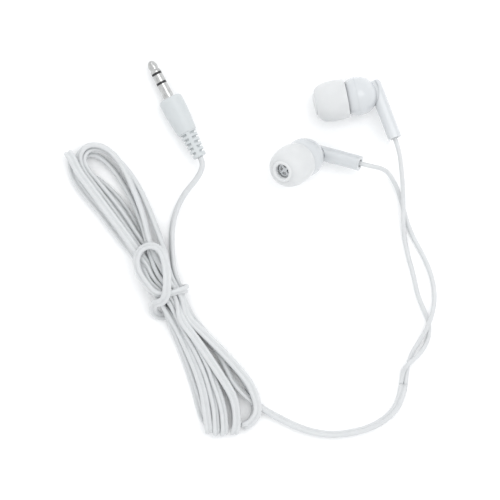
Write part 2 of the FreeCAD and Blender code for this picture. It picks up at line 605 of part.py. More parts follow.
BUD_PIECES = {
    "ear_tip": ear_tip,
    "front_shell": front_shell,
    "rear_shell": rear_shell,
    "nozzle_mesh": nozzle_mesh,
    "driver_cover": driver_cover,
    "driver_frame": driver_frame,
    "driver_yoke": driver_yoke,
    "driver_magnet": driver_magnet,
    "driver_top_plate": driver_top_plate,
    "voice_coil": voice_coil,
    "diaphragm_dome": diaphragm_dome,
    "diaphragm_surround": diaphragm_surround,
    "damping_felt": damping_felt,
    "terminal_board": terminal_board,
    "fine_wires": fine_wires,
    "inner_lead": inner_lead,
}


# ---------------------------------------------------------------- plug
def plug_z(from_tip):
    return PLUG_LENGTH - from_tip


def layer(outer_r, inner_r, z_low, z_high, tube_outer_r, tail_z):
    """A contact or insulator: its visible ring, and the thin tube that runs back from it inside the plug."""
    band = ring(outer_r, inner_r, z_low, z_high)
    return fused([band, ring(tube_outer_r, inner_r, tail_z, z_high)])


def plug_tip():
    front = plug_z(FRONT_INSULATOR_CENTRE - INSULATOR_WIDTH / 2)
    nose_z = PLUG_LENGTH - TIP_NOSE_R
    nose_foot_r = TIP_NOSE_R * TIP_NOSE_SPREAD
    return revolved([
        (0, -TIP_TAIL), (ROD_R, -TIP_TAIL), (ROD_R, front), (PLUG_R, front), (PLUG_R, front + TIP_LAND),
        (TIP_WAIST_R, plug_z(TIP_WAIST_FROM_END)), (TIP_BULGE_R, plug_z(TIP_BULGE_FROM_END)),
        (nose_foot_r, nose_z), cap_middle(nose_foot_r, nose_z, PLUG_LENGTH), (0, PLUG_LENGTH)])


def front_insulator():
    centre = plug_z(FRONT_INSULATOR_CENTRE)
    return layer(PLUG_R, ROD_R, centre - INSULATOR_WIDTH / 2, centre + INSULATOR_WIDTH / 2,
                 INNER_TUBE_R, -RING_TAIL - INSULATOR_TAIL)


def plug_ring():
    low = plug_z(REAR_INSULATOR_CENTRE) + INSULATOR_WIDTH / 2
    high = plug_z(FRONT_INSULATOR_CENTRE) - INSULATOR_WIDTH / 2
    return layer(PLUG_R, INNER_TUBE_R, low, high, RING_TUBE_R, -RING_TAIL)


def rear_insulator():
    centre = plug_z(REAR_INSULATOR_CENTRE)
    return layer(PLUG_R, RING_TUBE_R, centre - INSULATOR_WIDTH / 2,
                 centre + INSULATOR_WIDTH / 2, OUTER_TUBE_R, -SLEEVE_TAIL - INSULATOR_TAIL)


def plug_sleeve():
    high = plug_z(REAR_INSULATOR_CENTRE) - INSULATOR_WIDTH / 2
    return fused([ring(PLUG_R, OUTER_TUBE_R, 0, high), ring(SHANK_R, OUTER_TUBE_R, -SLEEVE_TAIL, 0)])


def ground_tab():
    """Solder tab under the sleeve's shank, joined to it by a small cuff."""
    front = -SLEEVE_TAIL + TAB_CUFF
    cuff = ring(SHANK_R + TAB_THICKNESS, SHANK_R, -SLEEVE_TAIL, front)
    tab = block(TAB_WIDTH, TAB_THICKNESS, -SLEEVE_TAIL - TAB_LENGTH, front, (0, -SHANK_R - TAB_THICKNESS / 2))
    return fused([cuff, tab]).cut(disc(SHANK_R, -2 * SLEEVE_TAIL, 0))


def plug_wires():
    """Three conductors, from the plug's three tails to the end of the inner mould."""
    end = -MOULD_LENGTH
    starts = [
        (Vector(0, 0, -TIP_TAIL), PLUG_WIRE_R),
        (Vector(0, (INNER_TUBE_R + RING_TUBE_R) / 2 + PLUG_WIRE_R, -RING_TAIL), PLUG_WIRE_R),
        (Vector(0, -SHANK_R + PLUG_WIRE_R, -SLEEVE_TAIL - TAB_LENGTH + TAB_WIRE_LAP), PLUG_WIRE_R),
    ]
    return Part.makeCompound([Part.makeCylinder(r, p.z - end, Vector(p.x, p.y, end)) for p, r in starts])


def plug_core():
    """Everything the inner mould is cast round."""
    return fused([plug_tip(), front_insulator(), plug_ring(), rear_insulator(), plug_sleeve()])


def mould_outside():
    mould = disc(MOULD_R, -MOULD_LENGTH, -GRIP_FRONT_WALL)
    return mould.makeFillet(MOULD_CORNER_R, [e for e in mould.Edges if isinstance(e.Curve, Part.Circle)])


def inner_mould():
    mould = mould_outside()
    for piece in (plug_core(), ground_tab(), plug_wires()):
        mould = mould.cut(piece)
    return mould


def relief_grooves():
    """Ring cuts across the strain relief on both sides, a smooth web left above and below."""
    pitch = RELIEF_LENGTH / (RELIEF_GROOVES + 0.5)
    cuts = []
    for k in range(RELIEF_GROOVES):
        centre = -GRIP_LENGTH - pitch * (k + RELIEF_FIRST_GROOVE)
        share = (-centre - GRIP_LENGTH) / RELIEF_LENGTH
        radius = RELIEF_FRONT_R + (RELIEF_END_R - RELIEF_FRONT_R) * share
        cuts.append(ring(radius + 2, radius - RELIEF_GROOVE_DEPTH, centre - RELIEF_GROOVE_WIDTH / 2,
                         centre + RELIEF_GROOVE_WIDTH / 2))
    web = block(RELIEF_WEB, 20, -GRIP_LENGTH - RELIEF_LENGTH - 1, 0)
    return Part.makeCompound(cuts).cut(web)


def plug_grip():
    end = -GRIP_LENGTH - RELIEF_LENGTH
    r = GRIP_CORNER_R
    body = revolved([
        (0, 0), (GRIP_FRONT_R - r, 0), (GRIP_FRONT_R - r * (1 - math.sqrt(0.5)), -r * (1 - math.sqrt(0.5)), "mid"),
        (GRIP_FRONT_R, -r), ((GRIP_FRONT_R + GRIP_REAR_R) / 2 + GRIP_CROWN, -GRIP_LENGTH * 0.55, "mid"),
        (GRIP_REAR_R, -GRIP_LENGTH), (RELIEF_FRONT_R, -GRIP_LENGTH - RELIEF_CHAMFER),
        (RELIEF_END_R, end + RELIEF_CHAMFER), (RELIEF_END_R - RELIEF_CHAMFER, end), (0, end)])
    body = body.cut(relief_grooves())
    return body.cut(mould_outside()).cut(plug_core())


PLUG_PIECES = {
    "plug_tip": plug_tip,
    "plug_front_insulator": front_insulator,
    "plug_ring": plug_ring,
    "plug_rear_insulator": rear_insulator,
    "plug_sleeve": plug_sleeve,
    "plug_ground_tab": ground_tab,
    "plug_wires": plug_wires,
    "plug_inner_mould": inner_mould,
    "plug_grip": plug_grip,
}


# ---------------------------------------------------------------- laying the pieces down
def frame_placement(x_axis, y_axis, z_axis, at=Vector(0, 0, 0)):
    matrix = FreeCAD.Matrix(
        x_axis.x, y_axis.x, z_axis.x, at.x,
        x_axis.y, y_axis.y, z_axis.y, at.y,
        x_axis.z, y_axis.z, z_axis.z, at.z,
        0, 0, 0, 1)
    return FreeCAD.Placement(matrix)


def laid_down(turned, outer_shapes, at):
    """Placement that keeps the turn, centres on `at` in plan and lets the lowest outer shape touch z = 0."""
    lowest = min(s.transformed(turned.toMatrix(), True).optimalBoundingBox().ZMin for s in outer_shapes)
    return FreeCAD.Placement(Vector(at[0], at[1], -lowest), turned.Rotation)


def bud_placement(side):
    where = BUDS[side]
    faces = Vector(where["faces"]).normalize()
    hangs = Vector(where["stem"])
    y_axis = (faces * hangs.dot(faces) - hangs).normalize()
    turned = frame_placement(y_axis.cross(faces), y_axis, faces)
    return laid_down(turned, [ear_tip(), rear_shell(), front_shell()], where["at"])


def plug_placement():
    points = Vector(PLUG_POINTS).normalize()
    x_axis = Vector(0, 0, 1).cross(points).normalize()
    turned = frame_placement(x_axis, points.cross(x_axis), points)
    return laid_down(turned, [plug_grip(), plug_tip()], PLUG_AT)


# ---------------------------------------------------------------- cord
def lead_route(side, placement, bends, end):
    """From inside the stem's mouth, straight out of it, along the bends to the twin cord."""
    start = placement.multVec(stem_point(STEM_MOUTH - STUB_FROM_MOUTH))
    straight = placement.multVec(stem_point(STEM_MOUTH + LEAD_STRAIGHT[side]))
    return [start, straight] + [Vector(p) for p in bends] + [end]


def twin_ends():
    """Centres of the two leads where they become the twin cord: left lead first."""
    split = Vector(TWIN_CORD[0])
    along = (Vector(TWIN_CORD[1]) - split).normalize()
    side = along.cross(Vector(0, 0, 1)).normalize() * (LEAD_D / 2)
    return split + side, split - side


def hank():
    """Outer shape of the wound, tied cord: two lobes with an open upper one, and the tie on top."""
    coil = smooth_prism(HANK_OUTLINE, 0, HANK_HEIGHT).cut(smooth_prism(HANK_WINDOW, -1, HANK_HEIGHT + 1))
    return fused([coil, smooth_prism(TIE_OUTLINE, 0, TIE_HEIGHT)])


def cords(places):
    """The free cord's solids, each ending face to face with the next piece."""
    left_end, right_end = twin_ends()
    left = lead_route("left", places["left"], LEFT_LEAD, left_end)
    right = lead_route("right", places["right"], RIGHT_LEAD, right_end)
    for name, route in (("left_lead", left), ("right_lead", right)):
        print(name, "starts", [tuple(round(c, 2) for c in p) for p in route[:2]])
    tail_z = -GRIP_LENGTH - RELIEF_LENGTH
    tail = [places["plug"].multVec(Vector(0, 0, z)) for z in (tail_z, tail_z - PLUG_LEAD_STRAIGHT)]
    print("plug_lead starts", [tuple(round(c, 2) for c in p) for p in tail])
    twin = cord_tube(TWIN_CORD, 2 * LEAD_D, LEAD_D, "twin_cord")
    plug_lead = cord_tube(tail + PLUG_LEAD, 2 * LEAD_D, LEAD_D, "plug_lead", upright=True)
    return {
        "left_lead": cord_tube(left, LEAD_D, LEAD_D, "left_lead"),
        "right_lead": cord_tube(right, LEAD_D, LEAD_D, "right_lead"),
        "twin_cord": twin,
        "plug_lead": plug_lead,
        "cord_hank": hank().cut(twin).cut(plug_lead),
    }


# ---------------------------------------------------------------- build
def build():
    places = {side: bud_placement(side) for side in BUDS}
    places["plug"] = plug_placement()
    shapes = {}
    for name, make in BUD_PIECES.items():
        piece = make()
        for side in BUDS:
            shapes[f"{side}_{name}"] = piece.transformed(places[side].toMatrix(), True)
    for name, make in PLUG_PIECES.items():
        shapes[name] = make().transformed(places["plug"].toMatrix(), True)
    shapes.update(cords(places))
    return shapes, places


def main():
    os.makedirs("parts", exist_ok=True)
    shapes, places = build()
    for name, placement in places.items():
        print(name, "placed at", tuple(round(c, 3) for c in placement.Base))
    for name, shape in shapes.items():
        if not shape.isValid() or shape.Volume <= 0:
            print("invalid:", name, shape.isValid(), shape.Volume)
        shape.exportStep(f"parts/{name}.step")
    print(len(shapes), "nodes")


if __name__ == "__main__":
    main()
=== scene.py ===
import json
import logging
import math
from dataclasses import dataclass, field
from enum import Enum

import bmesh
import bpy
import numpy as np
from mathutils import Matrix, Vector


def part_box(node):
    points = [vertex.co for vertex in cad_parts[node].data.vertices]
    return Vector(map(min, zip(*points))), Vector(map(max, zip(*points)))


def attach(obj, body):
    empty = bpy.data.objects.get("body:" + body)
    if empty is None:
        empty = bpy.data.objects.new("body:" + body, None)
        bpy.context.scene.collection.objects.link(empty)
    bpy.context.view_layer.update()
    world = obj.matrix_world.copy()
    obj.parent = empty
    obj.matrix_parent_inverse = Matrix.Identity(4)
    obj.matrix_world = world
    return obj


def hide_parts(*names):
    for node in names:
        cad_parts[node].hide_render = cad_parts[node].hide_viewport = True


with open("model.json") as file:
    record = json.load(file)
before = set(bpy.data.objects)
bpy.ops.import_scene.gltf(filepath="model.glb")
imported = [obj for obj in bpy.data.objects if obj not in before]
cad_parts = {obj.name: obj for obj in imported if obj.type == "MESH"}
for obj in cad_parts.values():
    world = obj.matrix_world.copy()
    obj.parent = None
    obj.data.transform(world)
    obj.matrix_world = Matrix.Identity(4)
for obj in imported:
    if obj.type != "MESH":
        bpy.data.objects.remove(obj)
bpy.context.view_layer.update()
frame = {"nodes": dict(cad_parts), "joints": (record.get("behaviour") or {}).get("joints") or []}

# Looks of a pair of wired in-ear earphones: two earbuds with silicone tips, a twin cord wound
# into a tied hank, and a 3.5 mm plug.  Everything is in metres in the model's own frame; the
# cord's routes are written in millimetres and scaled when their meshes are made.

MM = 0.001
WARM_SCATTER = (1.0, 0.97, 0.95)
LOG = logging.getLogger("earphones")

Place = tuple[float, float, float]
Plan = tuple[float, float]
Colour = tuple[float, float, float]
Socket = bpy.types.NodeSocket


class Slot(Enum):
    """Two material slot names from the record; nothing in this script uses them."""

    SILICONE = "silicone"
    JACKET = "cord_jacket"


class Side(Enum):
    """The two earbuds."""

    LEFT = "left"
    RIGHT = "right"


# ------------------------------------------------------------------------------ finishes
class Sheet:
    """A material's node tree with one surface shader, and short ways to add and join nodes."""

    def __init__(self, name: str) -> None:
        """Start a material of that name with an empty tree.

        Args:
            name: the material's name.
        """
        self.material = bpy.data.materials.new(name)
        self.material.use_nodes = True
        self.tree = self.material.node_tree
        self.tree.nodes.clear()
        self.output = self.add("ShaderNodeOutputMaterial")
        self.shader = self.add("ShaderNodeBsdfPrincipled")
        self.join(self.shader.outputs["BSDF"], self.output.inputs["Surface"])
        self.place = self.add("ShaderNodeTexCoord").outputs["Object"]

    def add(self, kind: str, **settings: object) -> bpy.types.Node:
        """Add a node of a Blender type, with attributes set on it.

        Args:
            kind: the node's Blender type.
            settings: attributes set on it.

        Returns:
            The new node.
        """
        node = self.tree.nodes.new(kind)
        for key, value in settings.items():
            setattr(node, key, value)
        return node

    def join(self, output: Socket, target: Socket) -> None:
        """Link an output to an input."""
        self.tree.links.new(output, target)

    def fix(self, **values: object) -> None:
        """Set plain values on the shader's own sockets; underscores stand for spaces."""
        for key, value in values.items():
            self.shader.inputs[key.replace("_", " ")].default_value = value

    def stretched(self, scale: Place, turn: Matrix | None = None) -> Socket:
        """Object coordinates turned into a piece's own directions and scaled.

        Args:
            scale: how much each own direction is scaled.
            turn: the piece's own frame, if it isn't the model's.

        Returns:
            The vector socket.
        """
        source = self.place
        if turn is not None:
            own = self.add("ShaderNodeMapping", vector_type="TEXTURE")
            own.inputs["Location"].default_value = turn.to_translation()
            own.inputs["Rotation"].default_value = turn.to_euler()
            self.join(source, own.inputs["Vector"])
            source = own.outputs["Vector"]
        scaled = self.add("ShaderNodeMapping", vector_type="POINT")
        scaled.inputs["Scale"].default_value = scale
        self.join(source, scaled.inputs["Vector"])
        return scaled.outputs["Vector"]

    def noise(self, scale: float, detail: float = 4.0, rough: float = 0.5,
              vector: Socket | None = None) -> Socket:
        """Fractal noise.

        Args:
            scale: features per metre.
            detail: octaves.
            rough: weight of the finer octaves.
            vector: where it is evaluated, if not at the object's own coordinates.

        Returns:
            The noise's value socket.
        """
        node = self.add("ShaderNodeTexNoise")
        node.inputs["Scale"].default_value = scale
        node.inputs["Detail"].default_value = detail
        node.inputs["Roughness"].default_value = rough
        self.join(self.place if vector is None else vector, node.inputs["Vector"])
        return node.outputs["Fac"]

    def spread(self, value: Socket, low: float, high: float,
               start: float = 0.3, end: float = 0.7) -> Socket:
        """Map a value onto another range.

        Args:
            value: the socket to map.
            low: result at start.
            high: result at end.
            start: input that gives low.
            end: input that gives high.

        Returns:
            The mapped value's socket.
        """
        node = self.add("ShaderNodeMapRange")
        for key, number in (("From Min", start), ("From Max", end), ("To Min", low), ("To Max", high)):
            node.inputs[key].default_value = number
        self.join(value, node.inputs["Value"])
        return node.outputs["Result"]

    def tint(self, value: Socket, dark: Colour, light: Colour,
             start: float = 0.3, end: float = 0.7) -> Socket:
        """Blend two colours by a value.

        Args:
            value: the blending socket.
            dark: colour at start.
            light: colour at end.
            start: input that gives dark.
            end: input that gives light.

        Returns:
            The colour socket.
        """
        ramp = self.add("ShaderNodeValToRGB")
        first, last = ramp.color_ramp.elements
        first.position, last.position = start, end
        first.color, last.color = (*dark, 1.0), (*light, 1.0)
        self.join(value, ramp.inputs["Fac"])
        return ramp.outputs["Color"]

    def bump(self, heights: list[tuple[Socket, float]]) -> None:
        """Chain bumps into the shader's normal.

        Args:
            heights: pairs of a height socket and its depth in metres.
        """
        normal = None
        for height, depth in heights:
            node = self.add("ShaderNodeBump")
            node.inputs["Strength"].default_value = 1.0
            node.inputs["Distance"].default_value = depth
            self.join(height, node.inputs["Height"])
            if normal is not None:
                self.join(normal, node.inputs["Normal"])
            normal = node.outputs["Normal"]
        self.join(normal, self.shader.inputs["Normal"])


@dataclass(frozen=True)
class Finish:
    """One surface finish; the subclasses say how it looks."""

    name: str
    colour: Colour
    shade: Colour
    roughness: float = 0.4

    def dress(self, sheet: Sheet) -> None:
        """Fill the node tree; each kind of finish has its own."""
        raise NotImplementedError

    def paint(self, sheet: Sheet, value: Socket, start: float = 0.3, end: float = 0.7) -> None:
        """Let a value, from start to end, turn the shade into the colour."""
        sheet.join(sheet.tint(value, self.shade, self.colour, start, end), sheet.shader.inputs["Base Color"])

    def gloss(self, sheet: Sheet, value: Socket, under: float, over: float, start: float = 0.3,
              end: float = 0.7) -> None:
        """Let a value, from start to end, take the roughness from so much under its own to so much over."""
        rough = sheet.spread(value, self.roughness - under, self.roughness + over, start, end)
        sheet.join(rough, sheet.shader.inputs["Roughness"])

    def make(self) -> bpy.types.Material:
        """Build the material once, and return the same one after that.

        Returns:
            The material.
        """
        known = bpy.data.materials.get(self.name)
        if known:
            return known
        sheet = Sheet(self.name)
        self.dress(sheet)
        return sheet.material


@dataclass(frozen=True)
class GlossPlastic(Finish):
    """Polished injection-moulded plastic with a clear, slightly uneven gloss."""

    coat: float = 0.35
    glow: float = 0.12

    def dress(self, sheet: Sheet) -> None:
        """Flow clouds in the colour, fine orange peel and faint hairline wear in the gloss."""
        self.paint(sheet, sheet.noise(160, 3))
        smear = sheet.noise(1.0, 5, 0.6, sheet.stretched((900, 260, 500)))
        self.gloss(sheet, smear, 0.05, 0.07)
        scuff = sheet.noise(1.0, 6, 0.65, sheet.stretched((6000, 700, 1500)))
        sheet.bump([(sheet.noise(1500, 2), 0.000012), (scuff, 0.000003)])
        sheet.fix(IOR=1.5, Coat_Weight=self.coat, Coat_Roughness=0.06, Subsurface_Weight=self.glow,
                  Subsurface_Radius=(1.0, 0.95, 0.9), Subsurface_Scale=0.0006)


@dataclass(frozen=True)
class SoftSilicone(Finish):
    """Translucent white silicone with a velvety skin and a little dust."""

    def dress(self, sheet: Sheet) -> None:
        """Milky body, matt skin that varies, moulding texture and specks of lint."""
        body = sheet.tint(sheet.noise(220, 4), self.shade, self.colour)
        dust = sheet.spread(sheet.noise(5200, 2, 0.4), 0.0, 0.35, 0.69, 0.76)
        mix = sheet.add("ShaderNodeMix", data_type="RGBA")
        sheet.join(dust, mix.inputs[0])
        sheet.join(body, mix.inputs[6])
        mix.inputs[7].default_value = (0.62, 0.63, 0.64, 1.0)
        sheet.join(mix.outputs[2], sheet.shader.inputs["Base Color"])
        skin = sheet.noise(900, 5, 0.6)
        self.gloss(sheet, skin, 0.06, 0.1)
        sheet.bump([(skin, 0.00001), (sheet.noise(4200, 3), 0.000006)])
        sheet.fix(IOR=1.42, Subsurface_Weight=0.55, Subsurface_Radius=WARM_SCATTER, Subsurface_Scale=0.0014,
                  Sheen_Weight=0.12, Sheen_Roughness=0.4)


@dataclass(frozen=True)
class JacketRubber(Finish):
    """Extruded soft cord jacket: satin, with drawn lines along it."""

    def dress(self, sheet: Sheet) -> None:
        """Lines that run along the cord, patches of handling gloss and a faint mottle."""
        along = sheet.add("ShaderNodeUVMap", uv_map="Cord").outputs["UV"]
        lines = sheet.add("ShaderNodeMapping", vector_type="POINT")
        lines.inputs["Scale"].default_value = (38.0, 90.0, 1.0)
        sheet.join(along, lines.inputs["Vector"])
        drawn = sheet.noise(1.0, 4, 0.6, lines.outputs["Vector"])
        self.paint(sheet, sheet.noise(420, 4))
        self.gloss(sheet, sheet.noise(130, 3), 0.07, 0.08)
        sheet.bump([(drawn, 0.000014), (sheet.noise(3600, 3), 0.000005)])
        sheet.fix(IOR=1.46, Subsurface_Weight=0.3, Subsurface_Radius=WARM_SCATTER, Subsurface_Scale=0.0005,
                  Sheen_Weight=0.05, Sheen_Roughness=0.5)


@dataclass(frozen=True)
class SatinGrip(Finish):
    """Over-moulded soft plastic of the plug's grip, a fine spark-eroded texture."""

    turn: Matrix = field(default_factory=Matrix.Identity)

    def dress(self, sheet: Sheet) -> None:
        """Fine eroded grain with smoother, shinier patches where fingers hold it."""
        self.paint(sheet, sheet.noise(190, 3))
        self.gloss(sheet, sheet.noise(1.0, 4, vector=sheet.stretched((260, 260, 120), self.turn)), 0.08, 0.1)
        flow = sheet.noise(1.0, 3, vector=sheet.stretched((900, 900, 120), self.turn))
        sheet.bump([(sheet.noise(5200, 4, 0.6), 0.00001), (flow, 0.000012)])
        sheet.fix(IOR=1.48, Subsurface_Weight=0.22, Subsurface_Radius=WARM_SCATTER, Subsurface_Scale=0.0008,
                  Coat_Weight=0.06, Coat_Roughness=0.25)


@dataclass(frozen=True)
class TurnedMetal(Finish):
    """Plated metal with turning marks round its axis and scratches along it from use."""

    turn: Matrix = field(default_factory=Matrix.Identity)
    marks: float = 9000.0
    depth: float = 0.0000035

    def dress(self, sheet: Sheet) -> None:
        """Rings from the lathe, long insertion scratches, and tarnish in patches."""
        self.paint(sheet, sheet.noise(700, 5, 0.6))
        rings = sheet.noise(1.0, 3, 0.7, sheet.stretched((60, 60, self.marks), self.turn))
        strokes = sheet.noise(1.0, 5, 0.7, sheet.stretched((5200, 5200, 160), self.turn))
        self.gloss(sheet, strokes, 0.06, 0.14, 0.4, 0.72)
        sheet.bump([(rings, self.depth), (strokes, 0.000002)])
        sheet.fix(Metallic=1.0)


@dataclass(frozen=True)
class PlainMoulding(Finish):
    """Small moulded or pressed inner piece: a grained surface."""

    metallic: float = 0.0
    grain: float = 3000.0
    depth: float = 0.000012

    def dress(self, sheet: Sheet) -> None:
        """Two-tone grain in colour, gloss and height."""
        self.paint(sheet, sheet.noise(self.grain / 6, 4))
        grain = sheet.noise(self.grain, 4, 0.6)
        self.gloss(sheet, grain, 0.08, 0.1)
        sheet.bump([(grain, self.depth)])
        sheet.fix(Metallic=self.metallic)


@dataclass(frozen=True)
class WovenGauze(Finish):
    """Fine woven steel gauze behind the sound outlet."""

    turn: Matrix = field(default_factory=Matrix.Identity)
    pitch: float = 0.00016

    def dress(self, sheet: Sheet) -> None:
        """Two crossing sets of wires, with painted shade in the holes between them standing for the dark
        cavity behind.
        """
        own = sheet.stretched((1, 1, 1), self.turn)
        heights = []
        for direction in ("X", "Y"):
            wave = sheet.add("ShaderNodeTexWave", wave_type="BANDS", bands_direction=direction)
            wave.inputs["Scale"].default_value = 1 / (self.pitch * 20)
            sheet.join(own, wave.inputs["Vector"])
            heights.append(wave.outputs["Fac"])
        top = sheet.add("ShaderNodeMath", operation="MAXIMUM")
        sheet.join(heights[0], top.inputs[0])
        sheet.join(heights[1], top.inputs[1])
        # Painted shade: the holes between the wires take the near-black shade colour.
        self.paint(sheet, top.outputs["Value"], 0.45, 0.7)
        sheet.join(sheet.spread(top.outputs["Value"], 0.7, self.roughness), sheet.shader.inputs["Roughness"])
        sheet.bump([(top.outputs["Value"], 0.00004)])
        sheet.fix(Metallic=0.9)


# ------------------------------------------------------------------------------ mesh helpers
def node_centre(node: str) -> Vector:
    """Middle of a CAD node's box, in metres."""
    low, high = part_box(node)
    return (Vector(low) + Vector(high)) / 2


def into_scene(thing: bpy.types.Object) -> bpy.types.Object:
    """Link an object to the scene, and give it back."""
    bpy.context.scene.collection.objects.link(thing)
    return thing


def own_frame(at: Vector, *axes: Vector) -> Matrix:
    """Matrix that takes a piece's own origin and its X, Y and Z axes to where they are in the model."""
    return Matrix.Translation(at) @ Matrix(axes).transposed().to_4x4()


def new_piece(name: str, mesh: bpy.types.Mesh, finish: Finish, body: str,
              stands_for: tuple[str, ...] = ()) -> bpy.types.Object:
    """Put a finished mesh in the scene as a piece.

    Args:
        name: the piece's name.
        mesh: its mesh, in the model's frame.
        finish: the finish it wears.
        body: the body it rides on.
        stands_for: CAD nodes it replaces.

    Returns:
        The new object.
    """
    piece = into_scene(bpy.data.objects.new(name, mesh))
    mesh.materials.append(finish.make())
    mesh.polygons.foreach_set("use_smooth", [True] * len(mesh.polygons))
    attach(piece, body)
    if stands_for:
        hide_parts(*stands_for)
    LOG.info("%s: %d faces, rides on %s", name, len(mesh.polygons), body)
    return piece


def dress_node(node: str, finish: Finish) -> None:
    """Give a CAD node's object a finish in every one of its material slots.

    Args:
        node: the CAD node's name.
        finish: the finish it wears.
    """
    piece = frame["nodes"][node]
    material = finish.make()
    for slot in piece.material_slots:
        slot.material = material
    LOG.info("%s: wears %s", node, finish.name)


def lathe(outline: list[Plan], turn: Matrix, segments: int = 128) -> bpy.types.Mesh:
    """Closed surface of revolution about the own Z axis.

    Args:
        outline: a closed loop of (radius, height) pairs in millimetres.
        turn: the piece's own frame, in metres.
        segments: steps round the axis.

    Returns:
        The new mesh.
    """
    points, faces = [], []
    rows = len(outline)
    for step in range(segments):
        angle = math.tau * step / segments
        around = Vector((math.cos(angle), math.sin(angle), 0))
        points += [turn @ ((around * radius + Vector((0, 0, height))) * MM) for radius, height in outline]
    for step in range(segments):
        here, there = step * rows, (step + 1) % segments * rows
        for row in range(rows):
            following = (row + 1) % rows
            faces.append((here + row, there + row, there + following, here + following))
    mesh = bpy.data.meshes.new("lathe")
    mesh.from_pydata(points, [], faces)
    work = bmesh.new()
    work.from_mesh(mesh)
    bmesh.ops.recalc_face_normals(work, faces=work.faces)
    work.to_mesh(mesh)
    work.free()
    return mesh


def nurbs_line(points: list[Place], steps: int) -> list[Vector]:
    """Points along the smooth line that a list of control points gives.

    Args:
        points: the control points.
        steps: points on each run.

    Returns:
        The line's points, in order.
    """
    curve = bpy.data.curves.new("line", "CURVE")
    curve.dimensions = "3D"
    curve.resolution_u = steps
    spline = curve.splines.new("NURBS")
    spline.points.add(len(points) - 1)
    for point, place in zip(spline.points, points):
        point.co = (*place, 1.0)
    spline.order_u = 3
    spline.use_endpoint_u = True
    holder = into_scene(bpy.data.objects.new("line", curve))
    bpy.context.view_layer.update()
    mesh = bpy.data.meshes.new_from_object(holder)
    line = [vertex.co.copy() for vertex in mesh.vertices]
    bpy.data.objects.remove(holder)
    bpy.data.curves.remove(curve)
    bpy.data.meshes.remove(mesh)
    return line


def tangents(line: list[Vector]) -> list[Vector]:
    """Unit directions along a line of points."""
    found = []
    for index in range(len(line)):
        before, after = line[max(index - 1, 0)], line[min(index + 1, len(line) - 1)]
        found.append((after - before).normalized())
    return found


def swept(line: list[Vector], wides: list[Vector], section: list[Plan]) -> bpy.types.Mesh:
    """Tube along a line, its section carried by the wide direction, with a map along the cord.

    Args:
        line: ring centres, in metres.
        wides: the section's first direction at each centre.
        section: offsets (wide, thin) in metres, in order round the section.

    Returns:
        The new mesh.
    """
    work = bmesh.new()
    uv = work.loops.layers.uv.new("Cord")
    rings, travelled, distance = [], [], 0.0
    for index, (centre, along) in enumerate(zip(line, tangents(line))):
        wide = (wides[index] - along * wides[index].dot(along)).normalized()
        thin = along.cross(wide)
        rings.append([work.verts.new(centre + wide * u + thin * v) for u, v in section])
        distance += (centre - line[max(index - 1, 0)]).length
        travelled.append(distance / MM)
    count = len(section)
    for ring, (first, second) in enumerate(zip(rings, rings[1:])):
        for k in range(count):
            face = work.faces.new((first[k], first[(k + 1) % count], second[(k + 1) % count], second[k]))
            corners = ((k, ring), (k + 1, ring), (k + 1, ring + 1), (k, ring + 1))
            for loop, (turn, row) in zip(face.loops, corners):
                loop[uv].uv = (turn / count, travelled[row] * 0.01)
    work.faces.new(rings[0][::-1])
    work.faces.new(rings[-1])
    bmesh.ops.recalc_face_normals(work, faces=work.faces)
    mesh = bpy.data.meshes.new("cord")
    work.to_mesh(mesh)
    work.free()
    return mesh


